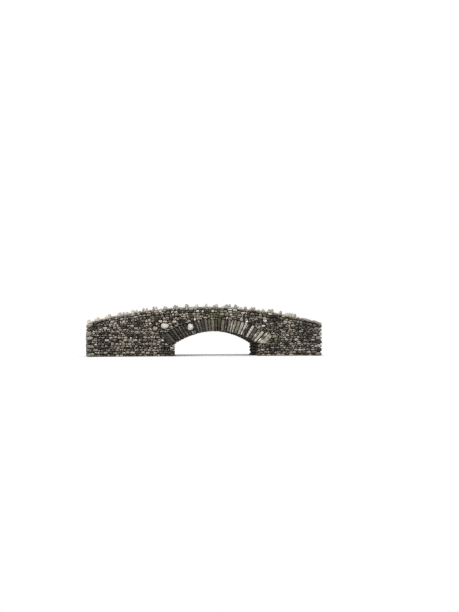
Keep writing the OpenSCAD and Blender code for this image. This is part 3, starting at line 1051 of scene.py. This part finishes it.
def side_region(series):
    """How far a point of the elevation lies inside the walling, on the side whose ring has that
    series: the least of its distances to the road line, the foot, the ends, the ring's stepped
    back, the springers and the waterway."""
    edges, tops = ring_edges(series), ring_tops(series)
    seat_end = reach(FAN_END, ARCH_R) + RING_D + SKEW_PAST

    def inside(x, z):
        """The least of those distances, by the fan's own lengths r and angles a."""
        r = np.hypot(x - ARCH_X, z - FAN_Z)
        a = np.degrees(np.arctan2(x - ARCH_X, z - FAN_Z))
        over = np.abs(a) - FAN_END
        beside = np.radians(np.abs(over)) * r * np.sign(over)
        stone = np.clip(np.searchsorted(edges, a) - 1, 0, RING_N - 1)
        ring = np.maximum(r - tops[stone] - CLEAR, beside)
        springer = np.maximum(np.maximum(beside - SPRINGER_T, SPRINGING_Z - z), r - seat_end)
        springer = np.maximum(springer - CLEAR, -beside)
        water = np.maximum(np.abs(x - ARCH_X) - SPAN / 2, z - SPRINGING_Z)
        return least(road_z(x) - z, z, HALF_L + PAST_END - np.abs(x), ring, springer, water)

    return inside


def quoin_seeds(low, high, bands, first):
    """Centres and half sizes of the quoins that close both ends of a face, one to each even
    course from low to high. Courses are counted from first, and the odd ones are short."""
    z = np.linspace(low, high, bands + 1)
    width = np.where((first + np.arange(bands)) % 2 == 1, QUOIN_SHORT, QUOIN_LONG)
    half = np.stack([width / 2, np.full(bands, (high - low) / bands / 2)], -1)
    centres = [
        np.stack([end * (HALF_L - width / 2), (z[:-1] + z[1:]) / 2], -1) for end in (LEFT, RIGHT)]
    return np.concatenate(centres), np.concatenate([half, half])


def with_quoins(centres, halves, z, quoins, quoin_halves):
    """Drops the stones at heights z that the quoins take the place of, and adds the quoins."""
    keep = np.abs(centres[:, 0]) < HALF_L - quoin_width(z) - QUOIN_ROOM
    return np.concatenate([centres[keep], quoins]), np.concatenate([halves[keep], quoin_halves])


# Large pale stones of the downstream face, left and right of the arch: x, z, length and height
LARGE_STONES = (
    (-2.08, 1.49, 0.44, 0.33), (-1.73, 1.43, 0.22, 0.28), (-2.53, 1.36, 0.28, 0.30),
    (-3.40, 1.18, 0.30, 0.20), (4.06, 1.37, 0.28, 0.15), (3.45, 0.98, 0.42, 0.17),
    (3.62, 1.24, 0.30, 0.16), (1.00, 2.00, 0.14, 0.12),
)


def with_large(centres, halves):
    """Drops the stones that the large ones take the place of, and adds those."""
    large = np.array(LARGE_STONES)
    d = (centres[:, None] - large[None, :, :2]) / (large[:, 2:] / 2 + 0.4 * halves[:, None])
    keep = (np.square(d).sum(-1) > 1).all(1)
    return (np.concatenate([centres[keep], large[:, :2]]),
            np.concatenate([halves[keep], large[:, 2:] / 2]))


def wall_back(centres):
    """Depth of the backs of the side walls' stones: quoins and the stones of the jambs below
    the springing turn their corner."""
    off = np.abs(np.abs(centres[:, 0] - ARCH_X) - SPAN / 2)
    jamb = (off < JAMB_REACH) & (centres[:, 1] < SPRINGING_Z)
    back = np.where(jamb, JAMB_BACK, STONE_BACK)
    return quoin_back(centres, quoin_return(centres[:, 1]), back)


class BRIDGE_OT_walling(Operator):
    """Lay the rubble of the side walls"""
    bl_idname = "bridge.walling"
    bl_label = "Walling"

    def execute(self, context):
        s = context.scene.bridge_walling
        for side, name in SIDE_NAMES.items():
            rng = np.random.default_rng(s.seed + SEEDS["walling"] + side)
            rows = course_lines(rng, 0.0, CREST_Z, s.stone_h)
            centres, halves = coursed_seeds(
                rng, rows, s.stone_l, HALF_L, jitter=0.19, split=0.18)
            water = (centres[:, 1] < SPRINGING_Z) & (np.abs(centres[:, 0] - ARCH_X) < SPAN / 2)
            centres, halves = centres[~water], halves[~water]
            quoins = quoin_seeds(0.0, road_z(HALF_L), WALL_BANDS, 0)
            centres, halves = with_quoins(centres, halves, centres[:, 1], *quoins)
            if side == DOWNSTREAM:
                centres, halves = with_large(centres, halves)

            def place(u, v, d, side=side):
                """Length, height and depth on the outer face."""
                return u, side * (outer_y(u) + d), v

            stones = plates(
                rng, centres, halves, s.joint, side_region(RING_SERIES[side]), place, wall_look,
                proud=(-0.3 * s.proud, 0.7 * s.proud), back=wall_back)
            make_piece(f"{name}_walling", stones, nodes_on(WALLS, name))
        bed_piece("walling_bed", nodes_on(WALLS), "walling_stone", "outer", "ends")
        return {"FINISHED"}


class BRIDGE_OT_parapets(Operator):
    """Lay the rubble of both faces of the parapets"""
    bl_idname = "bridge.parapets"
    bl_label = "Parapets"

    def execute(self, context):
        s = context.scene.bridge_walling

        def inside(x, v):
            """The least distance to the road, the foot of the coping and the ends, with the
            height v counted from the road."""
            top = cope_z(x) - road_z(x)
            return least(v - EDGE_GAP, top - v + PAST_TOP, HALF_L + PAST_END - np.abs(x))

        for side, name in SIDE_NAMES.items():
            batches = []
            for face in (1, -1):
                rng = np.random.default_rng(s.seed + SEEDS["parapets"] + 2 * side + face)
                rows = course_lines(rng, 0.0, PARAPET_H, s.stone_h)
                centres, halves = coursed_seeds(
                    rng, rows, s.stone_l, HALF_L, jitter=0.2, split=0.2)
                quoins = quoin_seeds(
                    0.0, cope_z(HALF_L) - road_z(HALF_L), PARAPET_BANDS, WALL_BANDS)
                z = road_z(centres[:, 0]) + centres[:, 1]
                centres, halves = with_quoins(centres, halves, z, *quoins)

                def back(c, face=face):
                    """Depth of the stones' backs: a quoin of one face runs in as far as the
                    other face's leaves room for."""
                    run = quoin_return(road_z(HALF_L) + c[:, 1])
                    return quoin_back(c, run if face > 0 else WALL_T - run, STONE_BACK)

                def place(u, v, d, face=face, side=side):
                    """Length, height over the road and depth on the outer or inner face."""
                    y = outer_y(u) + d if face > 0 else inner_y(u) - d
                    return u, side * y, road_z(u) + v

                batches.append(plates(
                    rng, centres, halves, s.joint, inside, place, wall_look,
                    proud=(-0.3 * s.proud, 0.6 * s.proud), back=back))
            make_piece(f"{name}_parapet_stones", join(batches),
                       nodes_on(PARAPETS, name))
        bed_piece("parapet_bed", nodes_on(PARAPETS), "parapet_stone", "outer", "inner", "ends")
        return {"FINISHED"}


class BRIDGE_OT_ends(Operator):
    """Lay the rubble of the two end faces"""
    bl_idname = "bridge.ends"
    bl_label = "End faces"

    def execute(self, context):
        s = context.scene.bridge_walling
        wide, road = outer_y(HALF_L), road_z(HALF_L)

        def inside(y, z):
            """The least distance to the parapets or the paving above, the foot and the quoins."""
            top = np.where(np.abs(y) > inner_y(HALF_L), road, road - PAVING_T)
            return least(top - z, z, wide - quoin_return(z) - QUOIN_GAP - np.abs(y))

        batches = []
        for end in (LEFT, RIGHT):
            rng = np.random.default_rng(s.seed + SEEDS["ends"] + end)
            rows = course_lines(rng, 0.0, road, s.stone_h)
            centres, halves = coursed_seeds(rng, rows, s.stone_l, wide, jitter=0.16, split=0.14)
            place = lambda u, v, d, end=end: (end * (HALF_L + d), u, v)
            batches.append(plates(
                rng, centres, halves, s.joint, inside, place, wall_look,
                proud=(-0.3 * s.proud, 0.6 * s.proud)))
        make_piece("end_walling", join(batches), END_WALLS)
        bed_piece("end_bed", END_WALLS, "walling_stone", "outer", "ends")
        return {"FINISHED"}


# Abutments, arch rings and vault


def springer_quads():
    """Corners of the two springers in the elevation: each is a slab that lies along the ring's
    last joint, from the waterway to just past the ring's back, drawn in a little all round."""
    seat = reach(FAN_END, ARCH_R)
    foot = fan_point(FAN_END, seat) - [ARCH_X, 0]
    head = fan_point(FAN_END, seat + RING_D + SKEW_PAST) - [ARCH_X, 0]
    tilt = math.radians(FAN_END)
    back = head + SPRINGER_T * np.array([math.cos(tilt), -math.sin(tilt)])
    heel = foot + [SPRINGER_T / math.cos(tilt), 0]
    corners = np.stack([foot, head, back, heel])
    middle = corners.mean(0)
    corners = middle + (corners - middle) * SPRINGER_FIT
    return np.stack([corners * [end, 1] + [ARCH_X, 0] for end in (LEFT, RIGHT)])


class BRIDGE_OT_abutments(Operator):
    """Lay the abutments' faces to the waterway and the large springers over them"""
    bl_idname = "bridge.abutments"
    bl_label = "Abutments and springers"

    def execute(self, context):
        s = context.scene.bridge_walling

        def inside(y, z):
            """The least distance to the foot, the springers and the corner stones."""
            return least(z, SPRINGING_Z - JAMB_GAP - z, JAMB_Y - np.abs(y))

        batches = []
        for end in (LEFT, RIGHT):
            rng = np.random.default_rng(s.seed + SEEDS["jambs"] + end)
            rows = course_lines(rng, 0.0, SPRINGING_Z, s.stone_h * JAMB_TALLER)
            centres, halves = coursed_seeds(
                rng, rows, s.stone_l * JAMB_LONGER, JAMB_Y, jitter=0.1)
            place = lambda u, v, d, end=end: (ARCH_X + end * (SPAN / 2 - d), u, v)
            batches.append(plates(
                rng, centres, halves, s.joint, inside, place, vault_look,
                proud=(-0.01, 0.012)))
        make_piece("abutment_stones", join(batches), ABUTMENTS)
        bed_piece("abutment_bed", ABUTMENTS, "footing_stone", "outer", "ends", "waterway")

        profile = ((0.9, REAR_Y), (1.0, REAR_Y + 0.03), (1.0, HALF_W - 0.02),
                   (0.95, HALF_W + 0.012), (0.8, HALF_W + 0.026), (0.4, HALF_W + 0.03))
        batches = []
        for side in SIDE_NAMES:
            rng = np.random.default_rng(s.seed + SEEDS["springers"] + side)
            place = lambda u, v, d, side=side: (u, side * d, v)
            batches.append(blocks(
                rng, springer_quads(), profile, place, springer_look,
                spokes=26, power=14, rough=0.008, wobble=0.08))
        make_piece("springers", join(batches), SKEWBACKS)
        bed_piece("springer_bed", SKEWBACKS, "footing_stone", "outer", "ends")
        return {"FINISHED"}


# The white block in the back of the downstream ring: its middle, turn, corners and profile
QUARTZ_X, QUARTZ_Z, QUARTZ_TURN = -0.80, 1.45, math.radians(24.5)
QUARTZ_CORNERS = np.array([
    (-0.14, -0.05), (-0.07, -0.18), (0.08, -0.17), (0.14, 0.01), (0.09, 0.16), (-0.05, 0.18)])
QUARTZ_FOOT = 0.19      # from its middle down to the stones that are cut off below it
QUARTZ_REACH = 0.15     # and to each side, the width over which they are
QUARTZ_PROFILE = ((0.9, HALF_W - 0.3), (1.0, HALF_W - 0.27), (1.0, HALF_W - 0.01),
                  (0.93, HALF_W + 0.02), (0.72, HALF_W + 0.035), (0.3, HALF_W + 0.04))


def quartz_block():
    """Corners of the white block at the ring's left haunch in the elevation: a rough hexagon,
    turned to the joints there."""
    along, up = QUARTZ_CORNERS.T
    return np.stack([
        QUARTZ_X + along * math.cos(QUARTZ_TURN) - up * math.sin(QUARTZ_TURN),
        QUARTZ_Z + along * math.sin(QUARTZ_TURN) + up * math.cos(QUARTZ_TURN),
    ], -1)


def under_quartz(quads):
    """Corners of the ring's stones, with those below the white block cut off at its foot."""
    fan = np.array([ARCH_X, FAN_Z])
    centre = quartz_block().mean(0) - fan
    angle = math.atan2(centre[0], centre[1])
    foot = np.linalg.norm(centre) - QUARTZ_FOOT
    mid = quads.mean(1) - fan
    under = np.abs(np.arctan2(mid[:, 0], mid[:, 1]) - angle) * foot < QUARTZ_REACH
    for corner in (2, 3):
        away = quads[under, corner] - fan
        length = np.linalg.norm(away, axis=1, keepdims=True)
        quads[under, corner] = fan + away * np.minimum(length, foot) / length
    return quads


def ring_quads(series, joint):
    """Corners of a ring's stones in the elevation: the joints fan out from the fan point, half
    a joint back on each side except where the end stones bear on their seats."""
    a, tops = ring_edges(series), ring_tops(series)
    mid, h = (a[:-1] + a[1:]) / 2, (a[1:] - a[:-1]) / 2
    low = reach(mid, ARCH_R)
    gap = np.full((2, RING_N), joint / 2)
    gap[0, 0] = gap[1, -1] = 0
    quads = []
    for sign, g in ((-1, gap[0]), (1, gap[1])):
        inner = h - np.degrees(g / low)
        outer = h - np.degrees(g / tops)
        top = tops * np.cos(np.radians(h)) / np.cos(np.radians(outer))
        under = fan_point(mid + sign * inner, reach(mid + sign * inner, ARCH_R))
        over = fan_point(mid + sign * outer, top)
        quads.append((under, over))
    return np.stack([quads[0][0], quads[1][0], quads[1][1], quads[0][1]], 1)


class BRIDGE_OT_rings(Operator):
    """Cut the stones of the two face rings"""
    bl_idname = "bridge.rings"
    bl_label = "Face rings"

    def execute(self, context):
        s = context.scene.bridge_ring
        for side, name in SIDE_NAMES.items():
            series = RING_SERIES[side]
            rng = np.random.default_rng(SEEDS["rings"] + side)
            quads = ring_quads(series, s.joint)
            face = HALF_W + RING_PROUD * np.abs(vary(np.arange(RING_N), series + 1))
            profile = (
                (0.93, REAR_Y + 0.005), (1.0, REAR_Y + 0.03),
                (1.0, face - 2.2 * s.setback), (0.955, face - 0.6 * s.setback),
                (0.8, face + 0.002), (0.4, face + 0.006),
            )
            place = lambda u, v, d, side=side: (u, side * d, v)
            if side == DOWNSTREAM:
                quads = under_quartz(quads)
            stones = blocks(rng, quads, profile, place, ring_look,
                            spokes=22, power=22, rough=0.007, wobble=0.05)
            if side == DOWNSTREAM:
                white = blocks(rng, quartz_block()[None], QUARTZ_PROFILE, place, ring_look,
                               spokes=20, power=16, rough=0.006)
                stones = join([stones, white])
            make_piece(f"{name}_ring", stones, [f"{name}_voussoirs"])
        return {"FINISHED"}


class BRIDGE_OT_vault(Operator):
    """Lay the underside of the vault between the two face rings"""
    bl_idname = "bridge.vault"
    bl_label = "Vault"

    def execute(self, context):
        s = context.scene.bridge_ring
        rng = np.random.default_rng(SEEDS["vault"])
        edges = ring_edges(0)
        under = fan_point(edges, reach(edges, ARCH_R))
        arc = ARCH_R * np.arcsin((under[:, 0] - ARCH_X) / ARCH_R)
        rows = list(zip(arc[:-1], arc[1:]))
        centres, halves = coursed_seeds(rng, rows, s.vault_l, REAR_Y, jitter=0.05)

        def inside(u, v):
            """The least distance to the springers and to the face rings."""
            return least(arc[-1] - np.abs(u), REAR_Y - EDGE_GAP - np.abs(v))

        def place(u, v, d):
            """Length along the arc, width and depth, by the angle phi from the crown."""
            phi = u / ARCH_R
            return ARCH_X + (ARCH_R - d) * np.sin(phi), v, ARCH_CZ + (ARCH_R - d) * np.cos(phi)

        stones = plates(rng, centres[:, ::-1], halves[:, ::-1], VAULT_JOINT, inside, place,
                        vault_look, proud=(-0.012, 0.008), tilt=0.03)
        make_piece("vault_stones", stones, ["arch_barrel"])

        # The bed: the section of the barrel, drawn in on three sides, carried across its width
        a = np.linspace(-FAN_END, FAN_END, VAULT_STEPS)
        low, high = reach(a, ARCH_R) + BED_DEPTH, reach(a, ARCH_R) + RING_D * VAULT_BED_T
        y = HALF_W - BED_DEPTH - VAULT_BED_GAP
        rows = []
        for side, t in ((-1, low), (-1, high), (1, high), (1, low)):
            p = fan_point(a, t)
            rows.append(np.stack([p[:, 0], np.full(len(a), side * y), p[:, 1]], -1))
        grid = np.stack(rows, 1)
        bed = Stones(*shells(grid[None], grid[None, 0].mean(1), grid[None, -1].mean(1)))
        make_piece("vault_bed", bed, ["arch_barrel"], PACKING_AND_SHADE)
        return {"FINISHED"}


# Road and coping


class BRIDGE_OT_paving(Operator):
    """Lay the pitched paving of the road"""
    bl_idname = "bridge.paving"
    bl_label = "Paving"

    def execute(self, context):
        s = context.scene.bridge_paving
        rng = np.random.default_rng(SEEDS["paving"])
        rows = course_lines(rng, -HALF_L, HALF_L, s.stone_w)
        centres, halves = coursed_seeds(rng, rows, s.stone_l, inner_y(HALF_L), jitter=0.12)
        centres, halves = centres[:, ::-1], halves[:, ::-1]
        keep = np.abs(centres[:, 1]) < inner_y(centres[:, 0])

        def inside(x, y):
            """The least distance to the ends and to the parapets."""
            return least(HALF_L + PAST_END - np.abs(x), inner_y(x) - PARAPET_GAP - np.abs(y))

        place = lambda u, v, d: (u, v, road_z(u) + d)
        stones = plates(rng, centres[keep], halves[keep], s.joint, inside, place, paving_look,
                        proud=(-0.016, 0.008), tilt=0.04, back=-0.075, rim=-0.04)
        make_piece("paving_stones", stones, PAVINGS)
        bed_piece("paving_bed", PAVINGS, "paving", "road", "ends")
        return {"FINISHED"}


def cope_stones(xa, xb, series):
    """Elevations and depths of a run of coping stones, as the source sets them out: each third
    stone and a few others stand tall, broad on the left and narrow on the right, and the rest
    lie low and wide."""
    n = int(math.floor((xb - xa) / COPE_W + 0.5))
    i = np.arange(n)
    tall = ((i + series) % 3 == 0) | (vary(i, series + 9) > 0.66)
    tall_w = 0.95 - 0.24 * (xa + (xb - xa) * i / n) / HALF_L
    widths = np.where(tall, tall_w, 1.1) * (1 + 0.22 * vary(i, series))
    run = np.concatenate([[0], np.cumsum(widths)])
    xs = xa + (xb - xa) * run / run[-1]
    x0, x1 = xs[:-1] + COPE_GAP / 2, xs[1:] - COPE_GAP / 2
    h = np.where(tall, COPE_TALL, COPE_LOW) * (1 + 0.14 * vary(i, series + 3))
    depth = COPE_T * (1 - 0.12 * np.abs(vary(i, series + 5)))
    lean = 0.1 * vary(i, series + 7)
    w, z = x1 - x0, cope_z((x0 + x1) / 2) - COPE_SINK
    corners = (
        (x0, z), (x1, z), (x1 - 0.06 * w, z + 0.62 * h), (x0 + (0.62 + lean) * w, z + h),
        (x0 + (0.36 + lean) * w, z + 0.97 * h), (x0 + 0.05 * w, z + 0.7 * h),
    )
    return np.stack([np.stack(corner, -1) for corner in corners], 1), depth


def cope_place(mid, side):
    """Puts coping stones on their parapet: each stone, whose middle is at x = mid, stands
    straight and is turned about it to follow the slope of the flare."""
    slope = np.where(np.abs(mid) > WING_X, 2 * WING_FLARE * (np.abs(mid) - WING_X), 0)
    yaw = side * np.sign(mid) * np.arctan(slope / WING_L ** 2)
    y = side * (outer_y(mid) - WALL_T / 2)

    def place(u, v, d):
        """Length, height and depth, turned by each stone's own angle about its middle."""
        m, at_y, turn = (part[:, None] if np.ndim(u) == 2 else part for part in (mid, y, yaw))
        c, k = np.cos(turn), np.sin(turn)
        return m + (u - m) * c - d * k, at_y + (u - m) * k + d * c, v

    return place


def slab_corners():
    """Elevations of the two long slabs that end each coping on the right."""
    xs = np.array([HALF_L - SLAB_L, HALF_L - SLAB_L / 2 + 0.04, HALF_L])
    x0, x1 = xs[:-1] + COPE_GAP / 2, xs[1:] - np.array([COPE_GAP / 2, 0])
    z0, z1 = cope_z(x0), cope_z(x1)
    corners = (
        (x0, z0 - COPE_SINK), (x1, z1 - COPE_SINK), (x1, z1 + 0.7 * SLAB_T), (x0, z0 + SLAB_T))
    return np.stack([np.stack(corner, -1) for corner in corners], 1)


# Rings of the coping stones and of the slabs: size, and depth as a share of half the thickness
COPE_PROFILE = ((0.62, -0.97), (0.9, -0.93), (0.98, -0.7), (1.0, -0.2),
                (1.0, 0.35), (0.97, 0.78), (0.88, 0.95), (0.6, 0.98))
SLAB_PROFILE = ((0.7, -1.0), (0.93, -0.98), (1.0, -0.88), (1.0, 0.88), (0.93, 0.98), (0.7, 1.0))


class BRIDGE_OT_coping(Operator):
    """Set the rough stones of the coping on edge along both parapets"""
    bl_idname = "bridge.coping"
    bl_label = "Coping"

    def execute(self, context):
        s = context.scene.bridge_coping
        for side, name in SIDE_NAMES.items():
            rng = np.random.default_rng(SEEDS["coping"] + side)
            middle, left, right = COPING_SERIES[side]
            runs = (
                cope_stones(-HALF_L + COPE_INSET, -WING_X, left),
                cope_stones(-WING_X, WING_X, middle),
                cope_stones(WING_X, HALF_L - SLAB_L, right),
            )
            corners, depth = (np.concatenate(part) for part in zip(*runs))
            centres = corners.mean(1, keepdims=True)
            stones = blocks(
                rng, centres + (corners - centres) * COPE_GROW,
                [(scale, share * (depth / 2)) for scale, share in COPE_PROFILE],
                cope_place(centres[:, 0, 0], side), cope_look, spokes=14, power=17,
                rough=s.unevenness, wobble=0.09, shift=s.unevenness * 0.5,
                dirt=(0.0,) * len(COPE_PROFILE))
            # Painted shade only at the foot, darkest where it stands on the parapet
            foot = stones.points[:, 2] - cope_z(stones.points[:, 0])
            stones.finish[:, PAINTED_SHADE] = np.clip(1 - foot / COPE_SHADE_H, 0, 1)

            def place(u, v, d, side=side):
                """Length, height and depth about the middle of the parapet."""
                return u, side * (outer_y(u) - WALL_T / 2 + d), v

            slabs = blocks(
                rng, slab_corners(),
                [(scale, share * (WALL_T / 2)) for scale, share in SLAB_PROFILE],
                place, slab_look, spokes=20, power=18, rough=0.005, wobble=0.04, dirt=SLAB_SHADE)
            make_piece(f"{name}_coping_stones", join([stones, slabs]),
                       nodes_on(COPINGS, name), COPING)
        return {"FINISHED"}


class BRIDGE_OT_hearting(Operator):
    """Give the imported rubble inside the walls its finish"""
    bl_idname = "bridge.hearting"
    bl_label = "Hearting"

    def execute(self, context):
        for name in HEARTINGS:
            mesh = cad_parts[name].data
            if not mesh.materials:
                mesh.materials.append(None)
            for number in range(len(mesh.materials)):
                mesh.materials[number] = finish_named(PACKING_AND_SHADE)
        return {"FINISHED"}


# Stage

PHOTO_H = 612
AIM = (1.175, -HALF_W, 2.5)
FLOOR_R = 400.0
FLOOR_FADE = (9.0, 26.0)    # distances from the bridge between which the floor turns white
VIEW_END = 900
SKY_COLOUR = (0.97, 0.985, 1.0)
# The floor's colour to the light and to the camera
FLOOR_COLOURS = ((0.3, 0.3, 0.29), (0.8, 0.8, 0.79))
# Lamps: name, the setting of its strength, and its width, tilt and turn in degrees
LAMPS = (("key", "sun", 7, 40, -32), ("back_light", "back", 25, 50, 150))


class BRIDGE_OT_stage(Operator):
    """Set the pale floor, the soft light and the camera"""
    bl_idname = "bridge.stage"
    bl_label = "Stage"

    def execute(self, context):
        s, scene = context.scene.bridge_stage, context.scene
        mesh = bpy.data.meshes.new("floor")
        corners = [(x * FLOOR_R, y * FLOOR_R, 0) for x, y in ((-1, -1), (1, -1), (1, 1), (-1, 1))]
        mesh.from_pydata(corners, [], [(0, 1, 2, 3)])
        floor = bpy.data.objects.new("floor", mesh)
        scene.collection.objects.link(floor)
        material = bpy.data.materials.new("pale_floor")
        w = Wiring(material)
        camera_ray = w.node("LightPath").outputs["Is Camera Ray"]
        pale = w.blend(camera_ray, *FLOOR_COLOURS)
        shader = w.node("BsdfPrincipled", {
            "Base Color": pale, "Roughness": 0.9, "Specular IOR Level": 0.1})
        space = w.node("TexCoord").outputs["Object"]
        far = w.node("VectorMath", {0: space}, operation="LENGTH").outputs["Value"]
        seen = w.math("MULTIPLY", w.band(far, *FLOOR_FADE), camera_ray)
        glow = w.node("Emission", {"Color": (1, 1, 1), "Strength": 1.0})
        w.node("OutputMaterial", {0: w.node("MixShader", {0: seen, 1: shader, 2: glow})})
        mesh.materials.append(material)

        world = bpy.data.worlds.new("studio")
        scene.world = world
        w = Wiring(world)
        path = w.node("LightPath")
        rays = ("Camera", "Glossy", "Transmission")
        seen = w.math("MAXIMUM", *(path.outputs[f"Is {ray} Ray"] for ray in rays))
        soft = w.node("Background", {0: SKY_COLOUR, 1: s.sky})
        white = w.node("Background", {0: (1, 1, 1), 1: 1.0})
        w.node("OutputWorld", {0: w.node("MixShader", {0: seen, 1: soft, 2: white})})

        for name, strength, angle, tilt, turn in LAMPS:
            lamp = bpy.data.lights.new(name, "SUN")
            lamp.energy = getattr(s, strength)
            lamp.angle = math.radians(angle)
            lit = bpy.data.objects.new(name, lamp)
            lit.rotation_euler = (math.radians(tilt), 0, math.radians(turn))
            scene.collection.objects.link(lit)

        aim = np.array(AIM)
        eye = aim + s.distance * np.array([math.sin(s.azimuth), -math.cos(s.azimuth), 0])
        eye[2] = s.eye_z
        camera = bpy.data.cameras.new("camera")
        camera.lens = s.focal_px / PHOTO_H * camera.sensor_width
        camera.clip_end = VIEW_END
        view = bpy.data.objects.new("camera", camera)
        scene.collection.objects.link(view)
        view.location = eye
        view.rotation_euler = Vector(aim - eye).to_track_quat("-Z", "Y").to_euler()
        scene.camera = view
        scene.view_settings.view_transform = "Standard"
        return {"FINISHED"}


class BRIDGE_PT_panel(Panel):
    """The bridge's pieces and sizes"""
    bl_idname = "BRIDGE_PT_panel"
    bl_label = "Packhorse Bridge"
    bl_space_type = "VIEW_3D"
    bl_region_type = "UI"
    bl_category = "Bridge"

    def draw(self, context):
        for operator in OPERATORS:
            self.layout.operator(operator.bl_idname)
        for name, group in GROUPS.items():
            box = self.layout.box()
            settings = getattr(context.scene, name)
            for key in group.__annotations__:
                box.prop(settings, key)


GROUPS = {
    "bridge_walling": BridgeWallingSettings,
    "bridge_ring": BridgeRingSettings,
    "bridge_paving": BridgePavingSettings,
    "bridge_coping": BridgeCopingSettings,
    "bridge_colours": BridgeColourSettings,
    "bridge_stage": BridgeStageSettings,
}
OPERATORS = (
    BRIDGE_OT_walling, BRIDGE_OT_parapets, BRIDGE_OT_ends, BRIDGE_OT_abutments,
    BRIDGE_OT_rings, BRIDGE_OT_vault, BRIDGE_OT_paving, BRIDGE_OT_coping,
    BRIDGE_OT_hearting, BRIDGE_OT_stage,
)
CLASSES = (*GROUPS.values(), *OPERATORS, BRIDGE_PT_panel)


def register():
    """Makes the classes known and gives each scene the settings."""
    for kind in CLASSES:
        bpy.utils.register_class(kind)
    for name, group in GROUPS.items():
        setattr(bpy.types.Scene, name, PointerProperty(type=group))


def unregister():
    """Takes the settings and the classes away again."""
    for name in GROUPS:
        delattr(bpy.types.Scene, name)
    for kind in reversed(CLASSES):
        bpy.utils.unregister_class(kind)


def main():
    """Registers the classes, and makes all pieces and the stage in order."""
    register()
    for operator in OPERATORS:
        family, name = operator.bl_idname.split(".")
        getattr(getattr(bpy.ops, family), name)()


if __name__ == "__main__":
    main()
